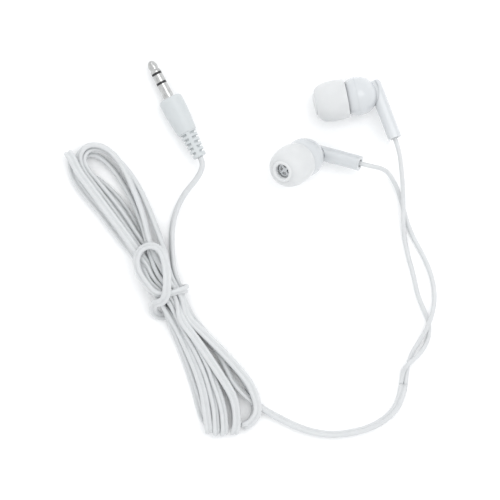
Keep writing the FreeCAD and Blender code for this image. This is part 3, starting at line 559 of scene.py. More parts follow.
# ------------------------------------------------------------------------------ earbuds
@dataclass(frozen=True)
class EarTip:
    """Soft silicone ear tip: a domed skirt turned back over the sleeve that grips the nozzle."""

    max_r: float = 6.8
    rim_r: float = 6.45
    rim_z: float = 4.0
    front_z: float = 15.0
    wall: float = 0.65
    rim_bead: float = 0.12
    collar_r: float = 3.75
    collar_height: float = 0.6
    opening_r: float = 2.45
    bore_r: float = 2.65
    sleeve_r: float = 3.35
    sleeve_z: float = 6.9
    step_z: float = 13.0
    hollow_z: Plan = (9.0, 11.2)
    belly_share: float = 0.36
    shoulder: Plan = (2.6, 2.1)
    hollow_share: float = 0.78
    lean: float = 0.9
    edge: float = 0.15
    bead_wide: float = 1.6
    segments: int = 144

    def skirt(self, share: float, inset: float) -> Plan:
        """Point on the skirt, from the rim (0) to the collar's foot (1), inset from the outside.

        Args:
            share: how far along the skirt.
            inset: distance in from the outside.

        Returns:
            Radius and height in millimetres.
        """
        top = self.front_z - self.collar_height
        if share < self.belly_share:
            rise = math.sin(share / self.belly_share * math.pi / 2)
            radius = self.rim_r + (self.max_r - self.rim_r) * rise
        else:
            fall = (share - self.belly_share) / (1 - self.belly_share)
            kept = (1 - fall ** self.shoulder[0]) ** (1 / self.shoulder[1])
            radius = self.collar_r + (self.max_r - self.collar_r) * kept
        height = self.rim_z + (top - self.rim_z) * share
        return radius - inset, height - inset * max(0.0, share - self.belly_share) * self.lean

    def outline(self) -> list[Plan]:
        """The tip's whole section as a closed loop, from the rim outside, over the front and back inside.

        Returns:
            Radius and height of each point, in millimetres.
        """
        shares = [1 - (1 - k / 40) ** 1.35 for k in range(1, 40)]
        outside = [self.skirt(share, 0.0) for share in shares]
        front = self.front_z - self.collar_height
        middle, half = (self.collar_r + self.opening_r) / 2, (self.collar_r - self.opening_r) / 2
        collar = []
        for k in range(13):
            angle = math.pi * k / 12
            height = front + self.collar_height * math.sin(angle) ** 0.8
            collar.append((middle + half * math.cos(angle), height))
        bore, sleeve, foot, edge = self.bore_r, self.sleeve_r, self.sleeve_z, self.edge
        inner = [(self.opening_r, front - 0.5), (self.opening_r, self.step_z), (bore, self.step_z),
                 (bore, (self.step_z + foot) / 2), (bore, foot + edge), (bore + 0.1, foot),
                 (sleeve - 0.12, foot), (sleeve, foot + edge)]
        inner += [(sleeve, height) for height in self.hollow_z]
        hollow = [self.skirt(share, self.wall) for share in reversed(shares) if share < self.hollow_share]
        wide = self.rim_bead * self.bead_wide
        bead = []
        for k in range(9):
            angle = math.pi * k / 8
            low = self.rim_z - math.sin(angle) * self.rim_bead
            bead.append((self.rim_r - wide - math.cos(angle) * wide, low))
        return outside + collar + inner + hollow + bead

    def build(self, side: Side, turn: Matrix) -> None:
        """Make one side's tip, in its bud's own frame, as a smooth piece that rides on its own body.

        Args:
            side: the side it is for.
            turn: the bud's own frame.
        """
        mesh = lathe(self.outline(), turn, self.segments)
        name = side.value
        new_piece(f"{name}_silicone_tip", mesh, SILICONE, f"{name}_tip", (f"{name}_ear_tip",))


@dataclass
class Earbud:
    """One earbud: its place from the frame, its tip, and the finishes of its CAD pieces."""

    side: Side
    coil_middle_z: float = 0.3
    mouth_share: float = 0.9

    def nozzle(self) -> Vector:
        """Direction from the ball's centre to the ear, from the ear tip's joint.

        Returns:
            A unit vector.
        """
        name = f"{self.side.value}_ear_tip_pull"
        axis = next(joint["axis"] for joint in frame["joints"] if joint["name"] == name)
        return Vector(axis).normalized()

    def centre(self) -> Vector:
        """The ball's centre: the voice coil's middle lies on the nozzle's line, just ahead of it."""
        return node_centre(f"{self.side.value}_voice_coil") - self.nozzle() * self.coil_middle_z * MM

    def stem(self) -> Vector:
        """Direction of the stem, from the ball's centre to the far end of the rear shell.

        Returns:
            A unit vector.
        """
        centre = self.centre()
        shell = frame["nodes"][f"{self.side.value}_rear_shell"]
        points = [vertex.co - centre for vertex in shell.data.vertices]
        reach = max(point.length for point in points)
        far = [point for point in points if point.length > reach * self.mouth_share]
        return sum(far, Vector()).normalized()

    def turn(self) -> Matrix:
        """The bud's own frame: Z along the nozzle, the stem on the -Y side.

        Returns:
            The matrix that turns the bud's directions into the model's.
        """
        ahead, down = self.nozzle(), self.stem()
        up = (ahead * down.dot(ahead) - down).normalized()
        return own_frame(self.centre(), up.cross(ahead), up, ahead)

    def build(self) -> None:
        """Make the tip and dress every CAD piece of the bud."""
        turn = self.turn()
        prefix = self.side.value
        EarTip().build(self.side, turn)
        # The gauze's near-black second colour is painted shade in the holes between its wires.
        gauze = WovenGauze(f"{prefix}_gauze", (0.6, 0.6, 0.6), (0.03, 0.03, 0.03), 0.35, turn)
        steel = TurnedMetal(f"{prefix}_drawn_steel", (0.62, 0.61, 0.6), (0.5, 0.49, 0.48), 0.3, turn, 4000.0)
        finishes = {
            "front_shell": SHELL, "rear_shell": SHELL, "nozzle_mesh": gauze, "driver_cover": steel,
            "driver_frame": FRAME_PLASTIC, "driver_yoke": steel, "driver_magnet": MAGNET,
            "driver_top_plate": steel, "voice_coil": COPPER, "diaphragm_dome": FILM,
            "diaphragm_surround": FILM, "damping_felt": FELT, "terminal_board": BOARD,
            "fine_wires": COPPER, "inner_lead": JACKET_INSIDE,
        }
        for piece, finish in finishes.items():
            dress_node(f"{prefix}_{piece}", finish)


# ------------------------------------------------------------------------------ plug
@dataclass
class Plug:
    """The 3.5 mm plug: plated contacts, dark insulators and the moulded grip."""

    metals: tuple[str, ...] = ("plug_tip", "plug_ring", "plug_sleeve", "plug_ground_tab")
    insulators: tuple[str, ...] = ("plug_front_insulator", "plug_rear_insulator")

    def turn(self) -> Matrix:
        """The plug's own frame: Z from the grip to the tip.

        Returns:
            The matrix that turns the plug's directions into the model's.
        """
        ahead = (node_centre("plug_tip") - node_centre("plug_grip")).normalized()
        side = Vector((0, 0, 1)).cross(ahead).normalized()
        return own_frame(node_centre("plug_sleeve"), side, ahead.cross(side), ahead)

    def build(self) -> None:
        """Dress every CAD piece of the plug."""
        turn = self.turn()
        metal = TurnedMetal("nickel_plate", (0.62, 0.625, 0.62), (0.42, 0.42, 0.415), 0.24, turn)
        grip = SatinGrip("grip_plastic", (0.585, 0.613, 0.622), (0.56, 0.588, 0.597), 0.42, turn)
        for node in self.metals:
            dress_node(node, metal)
        for node in self.insulators:
            dress_node(node, BLACK_RING)
        dress_node("plug_grip", grip)
        dress_node("plug_inner_mould", INNER_MOULD)
        dress_node("plug_wires", COPPER)


# ------------------------------------------------------------------------------ cord
@dataclass(frozen=True)
class Bend:
    """One control point of a cord's route: its place in millimetres and the twin cord's roll in degrees.

    A roll of 0 lays the twin cord flat, 90 stands it on its edge.
    """

    x: float
    y: float
    z: float
    roll: float = 0.0

    def place(self) -> Vector:
        """The point as a vector, in millimetres."""
        return Vector((self.x, self.y, self.z))


@dataclass(frozen=True)
class Lead:
    """A single round lead from an earbud's stem to the split."""

    side: Side
    bends: tuple[Place, ...]
    length: float = 0.09
    diameter: float = 1.5
    sides: int = 20
    steps: int = 10

    def build(self) -> None:
        line = [point * MM for point in nurbs_line(list(self.bends), self.steps)]
        wides, wide = [], Vector((0, 0, 1))
        for along in tangents(line):
            wide = (wide - along * wide.dot(along)).normalized()
            wides.append(wide)
        radius = self.diameter / 2 * MM
        turns = [math.tau * k / self.sides for k in range(self.sides)]
        section = [(radius * math.cos(turn), radius * math.sin(turn)) for turn in turns]
        name = f"{self.side.value}_lead"
        mesh = swept(line, wides, section)
        piece = new_piece(f"{name}_cord", mesh, JACKET, "earphones", (name,))


@dataclass(frozen=True)
class Waist:
    """Where the hank is tied: a place in plan, the bundle's direction, and the strands' spacing there."""

    x: float = -55.6
    y: float = -54.6
    along: Plan = (0.52, -0.854)
    low_z: float = 3.1
    high_z: float = 6.15
    stops: tuple[Plan, ...] = ((-7.5, 1.25), (-2.5, 1.0), (2.5, 1.0))

    def point(self, along: float, across: float, z: float, roll: float = 85.0) -> Bend:
        """A point by its distances from the waist.

        Args:
            along: millimetres towards the lower lobe.
            across: millimetres to the right of the bundle.
            z: height.
            roll: the twin cord's roll.

        Returns:
            The bend there.
        """
        down, right = self.along, (-self.along[1], self.along[0])
        return Bend(self.x + down[0] * along + right[0] * across,
                    self.y + down[1] * along + right[1] * across, z, roll)


@dataclass(frozen=True)
class Finger:
    """A turn of the lower lobe: over the top to its end, folded down, and back beneath."""

    top: tuple[Plan, ...]
    end: Plan
    points: Plan
    under: tuple[Plan, ...]
    column_top: float
    column_under: float
    top_z: float = 5.0
    end_z: float = 4.1
    roll: float = 20.0
    waist_roll: float = 60.0


@dataclass(frozen=True)
class Arch:
    """A turn of the upper lobe that lies on its side: up one leg, round, and down the other."""

    up: tuple[Place, ...]
    round: tuple[Place, ...]
    down: tuple[Place, ...]
    column_up: float
    column_down: float
    down_roll: float = 20.0


@dataclass(frozen=True)
class Blade:
    """A turn of the upper lobe that is folded flat: its top leg over its bottom leg."""

    up: tuple[Place, ...]
    end: Plan
    points: Plan
    down: tuple[Place, ...]
    column_up: float
    column_down: float
    high_z: float
    low_z: float


# The hank's turns, numbered from the left of each lobe.
FINGERS: dict[int, Finger] = {
    1: Finger(((-53.9, -62.0), (-51.3, -66.8), (-48.8, -72.7), (-46.4, -78.5), (-44.8, -83.5), (-43.5, -88.6),
               (-42.8, -94.4)), (-42.2, -99.0), (0.1, -1.0),
              ((-44.25, -95.9), (-45.5, -91.8), (-47.0, -86.3), (-48.6, -81.3), (-50.5, -76.1),
               (-52.4, -71.2), (-54.6, -66.0)), -3.1, -3.9, 5.2, 4.2, 14, 30),
    2: Finger(((-52.4, -63.4), (-49.6, -68.6), (-46.8, -73.4), (-44.6, -78.1), (-42.7, -82.8), (-41.4, -87.6),
               (-40.1, -93.4)), (-39.8, -99.7), (0.05, -1.0),
              ((-41.2, -94.0), (-43.4, -86.0), (-46.5, -78.6), (-49.8, -71.6), (-52.8, -65.6)),
              -1.55, -2.3, 4.2, 4.0, 42, 70),
    3: Finger(((-50.9, -64.2), (-47.8, -69.6), (-44.8, -74.6), (-42.3, -79.4), (-40.7, -84.2), (-39.0, -88.6),
               (-37.6, -93.6)), (-37.2, -99.9), (-0.05, -1.0),
              ((-39.0, -94.0), (-41.7, -86.4), (-44.8, -79.0), (-48.2, -72.0), (-51.6, -65.6)),
              0.0, -0.8, 4.0, 4.0, 36, 70),
    4: Finger(((-51.9, -62.6), (-49.4, -66.0), (-46.9, -69.3), (-44.2, -73.1), (-41.4, -77.3), (-38.7, -81.5),
               (-36.2, -85.3), (-34.0, -89.4), (-33.0, -94.2)), (-33.3, -99.6), (-0.3, -0.95),
              ((-33.3, -94.4), (-34.9, -88.6), (-38.0, -82.4), (-42.2, -76.0), (-46.4, -70.0),
               (-50.2, -65.0)),
              1.55, 0.8, 6.2, 4.2, 18, 34),
    5: Finger(((-50.2, -62.2), (-45.2, -66.8), (-41.1, -70.7), (-36.6, -75.3), (-32.0, -80.3), (-28.5, -84.9),
               (-26.6, -89.6), (-25.8, -94.2)), (-29.1, -98.2), (-0.88, -0.48),
              ((-26.6, -94.2), (-27.3, -89.6), (-29.6, -84.4), (-33.4, -79.2), (-38.0, -74.4), (-42.6, -69.9),
               (-46.4, -66.2), (-49.4, -62.8)), 3.1, 2.3, 5.2, 4.2, 24, 34),
}
ARCHES: dict[int, Arch] = {
    1: Arch(((-60.9, -41.4, 5.8), (-62.7, -36.4, 5.4), (-64.2, -29.6, 5.2), (-66.4, -23.0, 5.0),
             (-68.8, -17.0, 5.0), (-71.3, -11.7, 5.0)),
            ((-75.0, -6.8, 4.8), (-79.6, -4.3, 4.6), (-83.8, -5.0, 4.4), (-86.2, -8.2, 4.2)),
            ((-85.6, -12.6, 4.0), (-81.4, -18.2, 3.4), (-76.4, -24.8, 3.2), (-71.5, -31.6, 3.2),
             (-66.6, -39.0, 3.4)), 1.55, 0.8, 12),
    2: Arch(((-56.3, -41.6, 4.2), (-58.4, -35.8, 3.2), (-61.0, -29.4, 2.4), (-63.4, -23.6, 2.0),
             (-66.4, -17.7, 1.8), (-70.0, -12.6, 1.7)),
            ((-74.2, -8.4, 1.7), (-78.4, -5.9, 1.8), (-82.4, -5.9, 2.2), (-84.9, -8.6, 2.6)),
            ((-84.2, -12.6, 2.6), (-80.6, -16.9, 2.4), (-75.4, -23.0, 2.6), (-70.8, -28.9, 2.8),
             (-65.8, -36.6, 3.0)), 3.9, 2.3, 48),
    3: Arch(((-62.2, -40.6, 4.4), (-63.8, -33.6, 3.0), (-66.6, -26.0, 2.0), (-69.8, -19.8, 1.6),
             (-73.2, -14.3, 1.6), (-76.6, -10.4, 1.6)),
            ((-79.9, -8.0, 1.6), (-82.9, -7.7, 1.6), (-85.0, -9.5, 1.5), (-86.0, -12.6, 1.2)),
            ((-84.4, -15.2, 1.0), (-80.9, -15.9, 1.0), (-77.4, -18.7, 1.0), (-73.2, -22.7, 1.0),
             (-69.9, -27.2, 1.0), (-66.9, -32.3, 1.1), (-64.6, -37.4, 1.6)), 0.0, -0.8, 14),
}
BLADES: dict[int, Blade] = {
    4: Blade(((-62.9, -44.4, 6.4), (-66.5, -40.2, 6.0), (-70.7, -34.3, 5.6), (-74.9, -28.7, 5.4),
              (-79.0, -23.1, 5.4), (-82.8, -17.9, 5.4), (-86.1, -13.4, 5.4)),
             (-88.6, -8.4), (-0.55, 0.83),
             ((-88.1, -11.4, 2.4), (-87.0, -15.4, 2.4), (-83.6, -20.2, 2.4), (-78.3, -26.4, 2.4),
              (-72.3, -34.4, 2.4), (-66.9, -41.8, 3.0)),
             -1.55, -2.3, 5.4, 2.4),
    5: Blade(((-64.2, -43.6, 4.9), (-67.3, -39.4, 4.4), (-71.1, -33.6, 4.0), (-75.1, -28.3, 3.9),
              (-79.1, -22.7, 3.9)),
             (-82.0, -18.4), (-0.6, 0.8),
             ((-81.4, -21.4, 0.9), (-78.2, -26.2, 0.85), (-73.8, -32.2, 0.85), (-69.8, -38.0, 0.9),
              (-66.2, -43.0, 1.6)),
             -3.1, -3.9, 3.9, 0.9),
}


@dataclass
class MainCord:
    """The twin cord from the split: its free lay, the hank's turns, the tie, and the plug's lead."""

    lead_d: float = 1.5
    web: float = 0.42
    web_from: float = 0.9
    steep_below: float = 0.35
    section_steps: int = 32
    steps: int = 8
    waist: Waist = Waist()
    first_column: float = 3.9
    edge_roll: float = 76.0
    flat_roll: float = 8.0
    entry_roll: float = 60.0
    roll_step: float = 26.0
    leaving_roll: float = 80.0
    leaving_z: float = 2.6
    lowest_z: float = 0.95
    sinking: float = 1.4
    free_lay: tuple[Bend, ...] = (
        Bend(23.0, -84.8, 0.75, 4), Bend(22.2, -89.4, 1.2, 38), Bend(19.9, -93.9, 1.3, 42),
        Bend(16.1, -97.2, 1.36, 52), Bend(11.1, -99.8, 1.38, 56), Bend(5.4, -101.2, 1.38, 58),
        Bend(-0.6, -101.9, 1.38, 58), Bend(-6.9, -101.2, 1.38, 56), Bend(-12.9, -99.2, 1.38, 55),
        Bend(-18.6, -96.4, 1.38, 55), Bend(-23.9, -93.4, 1.38, 60),
    )
    into_hank: tuple[Bend, ...] = (
        Bend(-28.6, -89.9, 1.45, 65), Bend(-31.9, -86.9, 1.5, 70), Bend(-34.7, -83.4, 1.5, 72),
        Bend(-36.4, -79.4, 1.5, 70), Bend(-38.6, -75.2, 1.4, 55), Bend(-41.9, -71.0, 1.1, 30),
        Bend(-45.6, -66.6, 0.9, 20), Bend(-48.9, -61.9, 1.6, 50),
    )
    plug_lead: tuple[Bend, ...] = (
        Bend(-54.3, -47.4, 3.0, 78), Bend(-54.8, -42.6, 1.9, 76), Bend(-54.9, -37.7, 1.55, 72),
        Bend(-54.9, -33.0, 1.55, 72), Bend(-54.0, -28.0, 2.0, 72), Bend(-52.2, -23.6, 2.8, 72),
        Bend(-49.8, -19.7, 3.6, 72), Bend(-47.0, -16.6, 4.4, 74), Bend(-45.0, -13.4, 5.1, 75),
        Bend(-44.34, -10.47, 5.47, 76), Bend(-45.35, -8.52, 5.33, 78),
    )

    def pass_waist(self, column_from: float, column_to: float, low: bool, down: bool) -> list[Bend]:
        """The strand's way through the waist.

        Args:
            column_from: where it comes in, across the bundle.
            column_to: where it goes out.
            low: whether it runs in the lower row.
            down: whether it travels towards the lower lobe.

        Returns:
            The bends, in the order travelled.
        """
        z = self.waist.low_z if low else self.waist.high_z
        stops = self.waist.stops if down else self.waist.stops[::-1]
        bends = []
        for step, (stop, spread) in enumerate(stops):
            column = column_from + (column_to - column_from) * step / 2
            bends.append(self.waist.point(stop, column * spread, z))
        return bends

    def fold(self, end: Plan, points: Plan, first_z: float, last_z: float, roll: float) -> list[Bend]:
        """Half a round turn on edge, where a strand folds back under or over itself.

        Args:
            end: the middle of the half turn, in plan.
            points: the way the fold points, in plan.
            first_z: height that the strand comes in at.
            last_z: height that it leaves at.
            roll: the twin cord's roll.

        Returns:
            Five bends, the corners of a polygon round the half turn.
        """
        radius = abs(last_z - first_z) / 2
        ahead = Vector((*points, 0)).normalized()
        corner, tip = math.tan(math.pi / 6) * radius, radius / math.cos(math.pi / 6)
        middle_z = (first_z + last_z) / 2
        out = []
        pushes = (-corner, corner, tip, corner, -corner)
        for push, z in zip(pushes, (first_z, first_z, middle_z, last_z, last_z)):
            spot = Vector((*end, 0)) + ahead * push
            out.append(Bend(spot.x, spot.y, z, roll))
        return out

    def down_finger(self, finger: Finger) -> list[Bend]:
        """Beneath to the finger's end, round the fold and back over the top to the waist.

        Args:
            finger: the turn that is laid.

        Returns:
            Its bends, in the order travelled.
        """
        out = []
        for step, (x, y) in enumerate(reversed(finger.under), start=1):
            share = step / len(finger.under)
            z = self.leaving_z + (self.lowest_z - self.leaving_z) * min(1.0, share * self.sinking)
            out.append(Bend(x, y, z, self.leaving_roll + (finger.roll - self.leaving_roll) * share))
        out += self.fold(finger.end, finger.points, self.lowest_z, finger.end_z, finger.roll)
        for step, (x, y) in enumerate(reversed(finger.top), start=1):
            share = step / len(finger.top)
            z = finger.end_z + (finger.top_z - finger.end_z) * share
            out.append(Bend(x, y, z, finger.roll + (finger.waist_roll - finger.roll) * share ** 2))
        return out

    def up_arch(self, arch: Arch) -> list[Bend]:
        """Up the arch's first leg, round it on edge and down its second, which leans over.

        Args:
            arch: the turn that is laid.

        Returns:
            Its bends, in the order travelled.
        """
        out = [Bend(*place, self.edge_roll) for place in arch.up + arch.round[:-1]]
        out.append(Bend(*arch.round[-1], (self.edge_roll + arch.down_roll) / 2))
        return out + [Bend(*place, arch.down_roll) for place in arch.down]

    def up_blade(self, blade: Blade) -> list[Bend]:
        """Along the blade's top leg, round its fold and back along the bottom leg.

        Args:
            blade: the turn that is laid.

        Returns:
            Its bends, in the order travelled.
        """
        out = []
        for step, place in enumerate(blade.up):
            out.append(Bend(*place, max(self.flat_roll, self.entry_roll - self.roll_step * step)))
        out += self.fold(blade.end, blade.points, blade.high_z, blade.low_z, self.flat_roll)
        out += [Bend(*place, self.flat_roll) for place in blade.down[:-1]]
        return out + [Bend(*blade.down[-1], self.entry_roll)]

    def tie(self) -> list[Bend]:
        """Once round the waist, then the eye that stands over it, under again and out to the plug's lead.

        Returns:
            The bends, in the order travelled.
        """
        at = self.waist.point
        return [
            at(-4.6, -3.2, 6.2, 30), at(-4.8, -4.3, 3.4, 0), at(-3.2, -3.4, 0.9, 0), at(-1.0, 0.0, 0.75, 0),
            at(0.8, 3.8, 0.9, 0), at(1.4, 5.2, 3.4, 20), at(1.2, 4.4, 7.4, 60), at(0.5, 1.6, 8.9, 66),
            at(-0.5, -1.8, 8.9, 66), at(-2.8, -4.4, 8.4, 60), Bend(-63.2, -51.7, 8.0, 50),
            Bend(-65.9, -48.0, 7.6, 50), Bend(-67.0, -43.6, 7.2, 50), Bend(-65.6, -39.7, 7.0, 50),
            Bend(-62.2, -38.0, 7.2, 48), Bend(-58.8, -39.3, 8.0, 44), Bend(-57.1, -42.9, 9.2, 36),
            Bend(-56.3, -47.4, 10.4, 26), Bend(-56.3, -51.8, 10.8, 20), Bend(-56.7, -55.4, 10.2, 20),
            Bend(-58.4, -57.4, 9.0, 20), Bend(-60.6, -57.4, 7.0, 20), Bend(-61.2, -59.4, 4.4, 10),
            Bend(-60.3, -61.6, 2.0, 0), Bend(-57.6, -62.4, 0.8, 0), at(5.6, 0.6, 0.75, 0),
            Bend(-52.5, -57.4, 0.8, 10), Bend(-51.9, -54.2, 1.4, 40), Bend(-53.1, -51.2, 2.4, 70),
        ]

    def route(self) -> tuple[list[Bend], int, int]:
        """All the cord's bends from the split to the plug.

        Returns:
            The bends, and how many at each end stay where they are when the hank settles.
        """
        bends = [*self.free_lay, *self.into_hank]
        column, low = self.first_column, True
        order = [(ARCHES[2], 5), (ARCHES[1], 4), (ARCHES[3], 3), (BLADES[4], 2), (BLADES[5], 1)]
        for upper, number in order:
            bends += self.pass_waist(column, upper.column_up, low, down=False)
            bends += self.up_arch(upper) if isinstance(upper, Arch) else self.up_blade(upper)
            finger = FINGERS[number]
            bends += self.pass_waist(upper.column_down, finger.column_under, True, down=True)
            bends += self.down_finger(finger)
            column, low = finger.column_top, False
        bends += self.pass_waist(column, column, False, down=False)[:2]
        bends += [*self.tie(), *self.plug_lead]
        return bends, len(self.free_lay), len(self.plug_lead) - 2

    def wide_ways(self, bends: list[Bend]) -> list[Vector]:
        """The twin cord's wide direction at each bend, turned without a jump from one to the next.

        Args:
            bends: all the cord's bends.

        Returns:
            A direction for each bend.
        """
        places = [bend.place() for bend in bends]
        up, level = Vector((0, 0, 1)), Vector((0, 1, 0))
        ways = []
        for bend, along in zip(bends, tangents(places)):
            flat = up.cross(along)
            if flat.length > self.steep_below:
                level = flat.normalized()
            rise = along.cross(level).normalized()
            angle = math.radians(bend.roll)
            choices = [level * math.cos(angle) * sign + rise * math.sin(angle) for sign in (1, -1)]
            choices += [-choice for choice in choices]
            ways.append(max(choices, key=ways[-1].dot) if ways else choices[0])
        return ways

    def section(self) -> list[Plan]:
        """Outline of two round leads side by side with a thin web between them, in metres.

        Returns:
            The outline's points, across and through the cord.
        """
        outline = []
        for k in range(self.section_steps):
            angle = math.tau * (k + 0.5) / self.section_steps
            lobe = self.lead_d * abs(math.cos(angle))
            through = abs(math.sin(angle))
            reach = max(lobe, self.web / through if through > self.web_from else 0.0)
            outline.append((reach * math.cos(angle) * MM, reach * math.sin(angle) * MM))
        return outline

    def build(self) -> None:
        bends, fixed_start, fixed_end = self.route()
        ways = self.wide_ways(bends)
        places = [bend.place() for bend in bends]
        settled = Settling(self.lead_d).run(places, ways, fixed_start, fixed_end)
        line = [point * MM for point in nurbs_line([tuple(place) for place in settled], self.steps)]
        wides = nurbs_line([tuple(way) for way in ways], self.steps)
        piece = new_piece("twin_cord_and_hank", swept(line, wides, self.section()), JACKET,
                          "earphones", ("twin_cord", "cord_hank", "plug_lead"))


@dataclass
class Settling:
    """Lets the hank's strands rest on the surface and on each other, by moving its bends a little."""

    lead_d: float
    rounds: int = 160
    look_again: int = 10
    samples: int = 5
    apart_along: float = 4.5
    level_give: float = 0.45
    upright_give: float = 1.0
    pull_back: float = 0.015
    evening: float = 0.22
    push_on: float = 1.2

    def weights(self, count: int) -> np.ndarray:
        """How much each bend counts at each sample of the smooth line.

        Args:
            count: number of bends.

        Returns:
            A matrix, samples by bends.
        """
        spans = count - 2
        knots = np.concatenate([[0, 0], np.arange(spans + 1), [spans, spans]]).astype(float)
        at = np.linspace(0, spans - 1e-9, spans * self.samples + 1)
        basis = ((at[:, None] >= knots[None, :-1]) & (at[:, None] < knots[None, 1:])).astype(float)
        for degree in (1, 2):
            following = np.zeros((len(at), basis.shape[1] - 1))
            for k in range(basis.shape[1] - 1):
                left, right = knots[k + degree] - knots[k], knots[k + degree + 1] - knots[k + 1]
                if left > 0:
                    following[:, k] += (at - knots[k]) / left * basis[:, k]
                if right > 0:
                    following[:, k] += (knots[k + degree + 1] - at) / right * basis[:, k + 1]
            basis = following
        return basis

    def near_pairs(self, lobes: np.ndarray, travelled: np.ndarray) -> tuple[np.ndarray, np.ndarray]:
        """Pairs of lobe points that are close but far apart along the cord.

        Args:
            lobes: both lobes' centres at every sample.
            travelled: distance along the cord at each of them.

        Returns:
            Two arrays of indices.
        """
        reach = 2 * self.lead_d
        first, second = [], []
        block = 400
        for start in range(0, len(lobes), block):
            here = lobes[start:start + block]
            gap = np.linalg.norm(here[:, None, :] - lobes[None, :, :], axis=2)
            away = np.abs(travelled[start:start + block, None] - travelled[None, :]) > self.apart_along
            rows, columns = np.nonzero((gap < reach) & away)
            rows += start
            keep = rows < columns
            first.append(rows[keep])
            second.append(columns[keep])
        return np.concatenate(first), np.concatenate(second)

    def run(self, places: list[Vector], ways: list[Vector], fixed_start: int, fixed_end: int) -> list[Vector]:
        """Move the bends until the strands only touch.

        Args:
            places: the bends.
            ways: the cord's wide direction at each.
            fixed_start: bends at the start that don't move.
            fixed_end: bends at the end that don't move.

        Returns:
            The bends' settled places.
        """
        bends = np.array([tuple(place) for place in places])
        start = bends.copy()
        free = np.ones(len(bends))
        free[:fixed_start] = 0
        free[len(bends) - fixed_end:] = 0
        weights = self.weights(len(bends))
        share = np.maximum(weights.sum(axis=0), 1e-6)
        wides = weights @ np.array([tuple(way) for way in ways])
        wides /= np.linalg.norm(wides, axis=1)[:, None]
        give = np.array([self.level_give, self.level_give, self.upright_give])
        radius = self.lead_d / 2
        pairs = None
        for turn in range(self.rounds):
            line = weights @ bends
            lobes = np.concatenate([line + wides * radius, line - wides * radius])
            if pairs is None or turn % self.look_again == 0:
                steps = np.linalg.norm(np.diff(line, axis=0), axis=1)
                travelled = np.concatenate([[0], np.cumsum(steps)])
                pairs = self.near_pairs(lobes, np.tile(travelled, 2))
            first, second = pairs
            between = lobes[second] - lobes[first]
            gap = np.linalg.norm(between, axis=1)
            deep = np.maximum(self.lead_d - gap, 0)
            push = between / np.maximum(gap, 1e-6)[:, None] * (deep / 2)[:, None]
            moved = np.zeros_like(lobes)
            np.add.at(moved, first, -push)
            np.add.at(moved, second, push)
            moved[:, 2] += np.maximum(radius - lobes[:, 2] - moved[:, 2], 0)
            whole = moved[:len(line)] + moved[len(line):]
            step = weights.T @ whole / share[:, None] * give
            bends += step * free[:, None] * self.push_on
            drift = bends - start
            smooth = drift.copy()
            smooth[1:-1] += self.evening * (drift[:-2] - 2 * drift[1:-1] + drift[2:])
            bends = start + smooth * (1 - self.pull_back) * free[:, None]
        line = weights @ bends
        lobes = np.concatenate([line + wides * radius, line - wides * radius])
        first, second = self.near_pairs(lobes, np.tile(travelled, 2))
        deep = self.lead_d - np.linalg.norm(lobes[second] - lobes[first], axis=1)
        LOG.info("hank settled: deepest press %.2f mm, %d places over a fifth of a lead, lowest %.2f mm",
                 deep.max(), int((deep > self.lead_d / 5).sum()), (lobes[:, 2] - radius).min())
        return [Vector(bend) for bend in bends]


# ------------------------------------------------------------------------------ studio
@dataclass(frozen=True)
class Studio:
    """Pale floor, soft light from the upper right, and a camera straight above."""

    camera_at: Place = (-0.0286, -0.03975, 1.5)
    lens: float = 321.0
    sensor: float = 36.0
    floor_size: float = 3.0
    world: float = 1.08

    def floor(self) -> None:
        """A large pale floor at the height that the earphones rest on."""
        half = self.floor_size / 2
        mesh = bpy.data.meshes.new("floor")
        corners = [(-half, -half, 0), (half, -half, 0), (half, half, 0), (-half, half, 0)]
        mesh.from_pydata(corners, [], [(0, 1, 2, 3)])
        piece = into_scene(bpy.data.objects.new("floor", mesh))
        sheet = Sheet("floor_paper")
        grain = sheet.tint(sheet.noise(900, 3), (0.93, 0.935, 0.94), (0.95, 0.952, 0.955))
        sheet.join(grain, sheet.shader.inputs["Base Color"])
        sheet.fix(Roughness=0.9, Specular_IOR_Level=0.1, Emission_Strength=0.05)
        sheet.shader.inputs["Emission Color"].default_value = (1.0, 1.0, 1.0, 1.0)
        mesh.materials.append(sheet.material)

    def light(self, name: str, at: Place, towards: Place, size: float, power: float) -> None:
        """One square soft light.

        Args:
            name: its name.
            at: where it stands.
            towards: what it looks at.
            size: its side.
            power: watts.
        """
        lamp = bpy.data.lights.new(name, "AREA")
        lamp.shape = "SQUARE"
        lamp.size = size
        lamp.energy = power
        holder = into_scene(bpy.data.objects.new(name, lamp))
        holder.location = at
        holder.rotation_euler = (Vector(towards) - Vector(at)).to_track_quat("-Z", "Y").to_euler()

    def build(self) -> None:
        """Set up the floor, lights, surroundings and camera."""
        self.floor()
        aim = (self.camera_at[0], self.camera_at[1], 0.0)
        self.light("key", (0.25, 0.2, 0.8), aim, 0.5, 1.5)
        self.light("window", (-0.2, 0.5, 0.5), aim, 0.25, 0.2)
        surroundings = bpy.data.worlds.new("surroundings")
        surroundings.use_nodes = True
        sky = surroundings.node_tree.nodes["Background"]
        sky.inputs["Color"].default_value = (0.985, 0.992, 1.0, 1.0)
        sky.inputs["Strength"].default_value = self.world
        scene = bpy.context.scene
        scene.world = surroundings
        scene.view_settings.view_transform = "Standard"
        camera = bpy.data.cameras.new("camera")
        camera.lens = self.lens
        camera.sensor_width = self.sensor
        camera.clip_start = 0.01
        scene.camera = into_scene(bpy.data.objects.new("camera", camera))
        scene.camera.location = self.camera_at


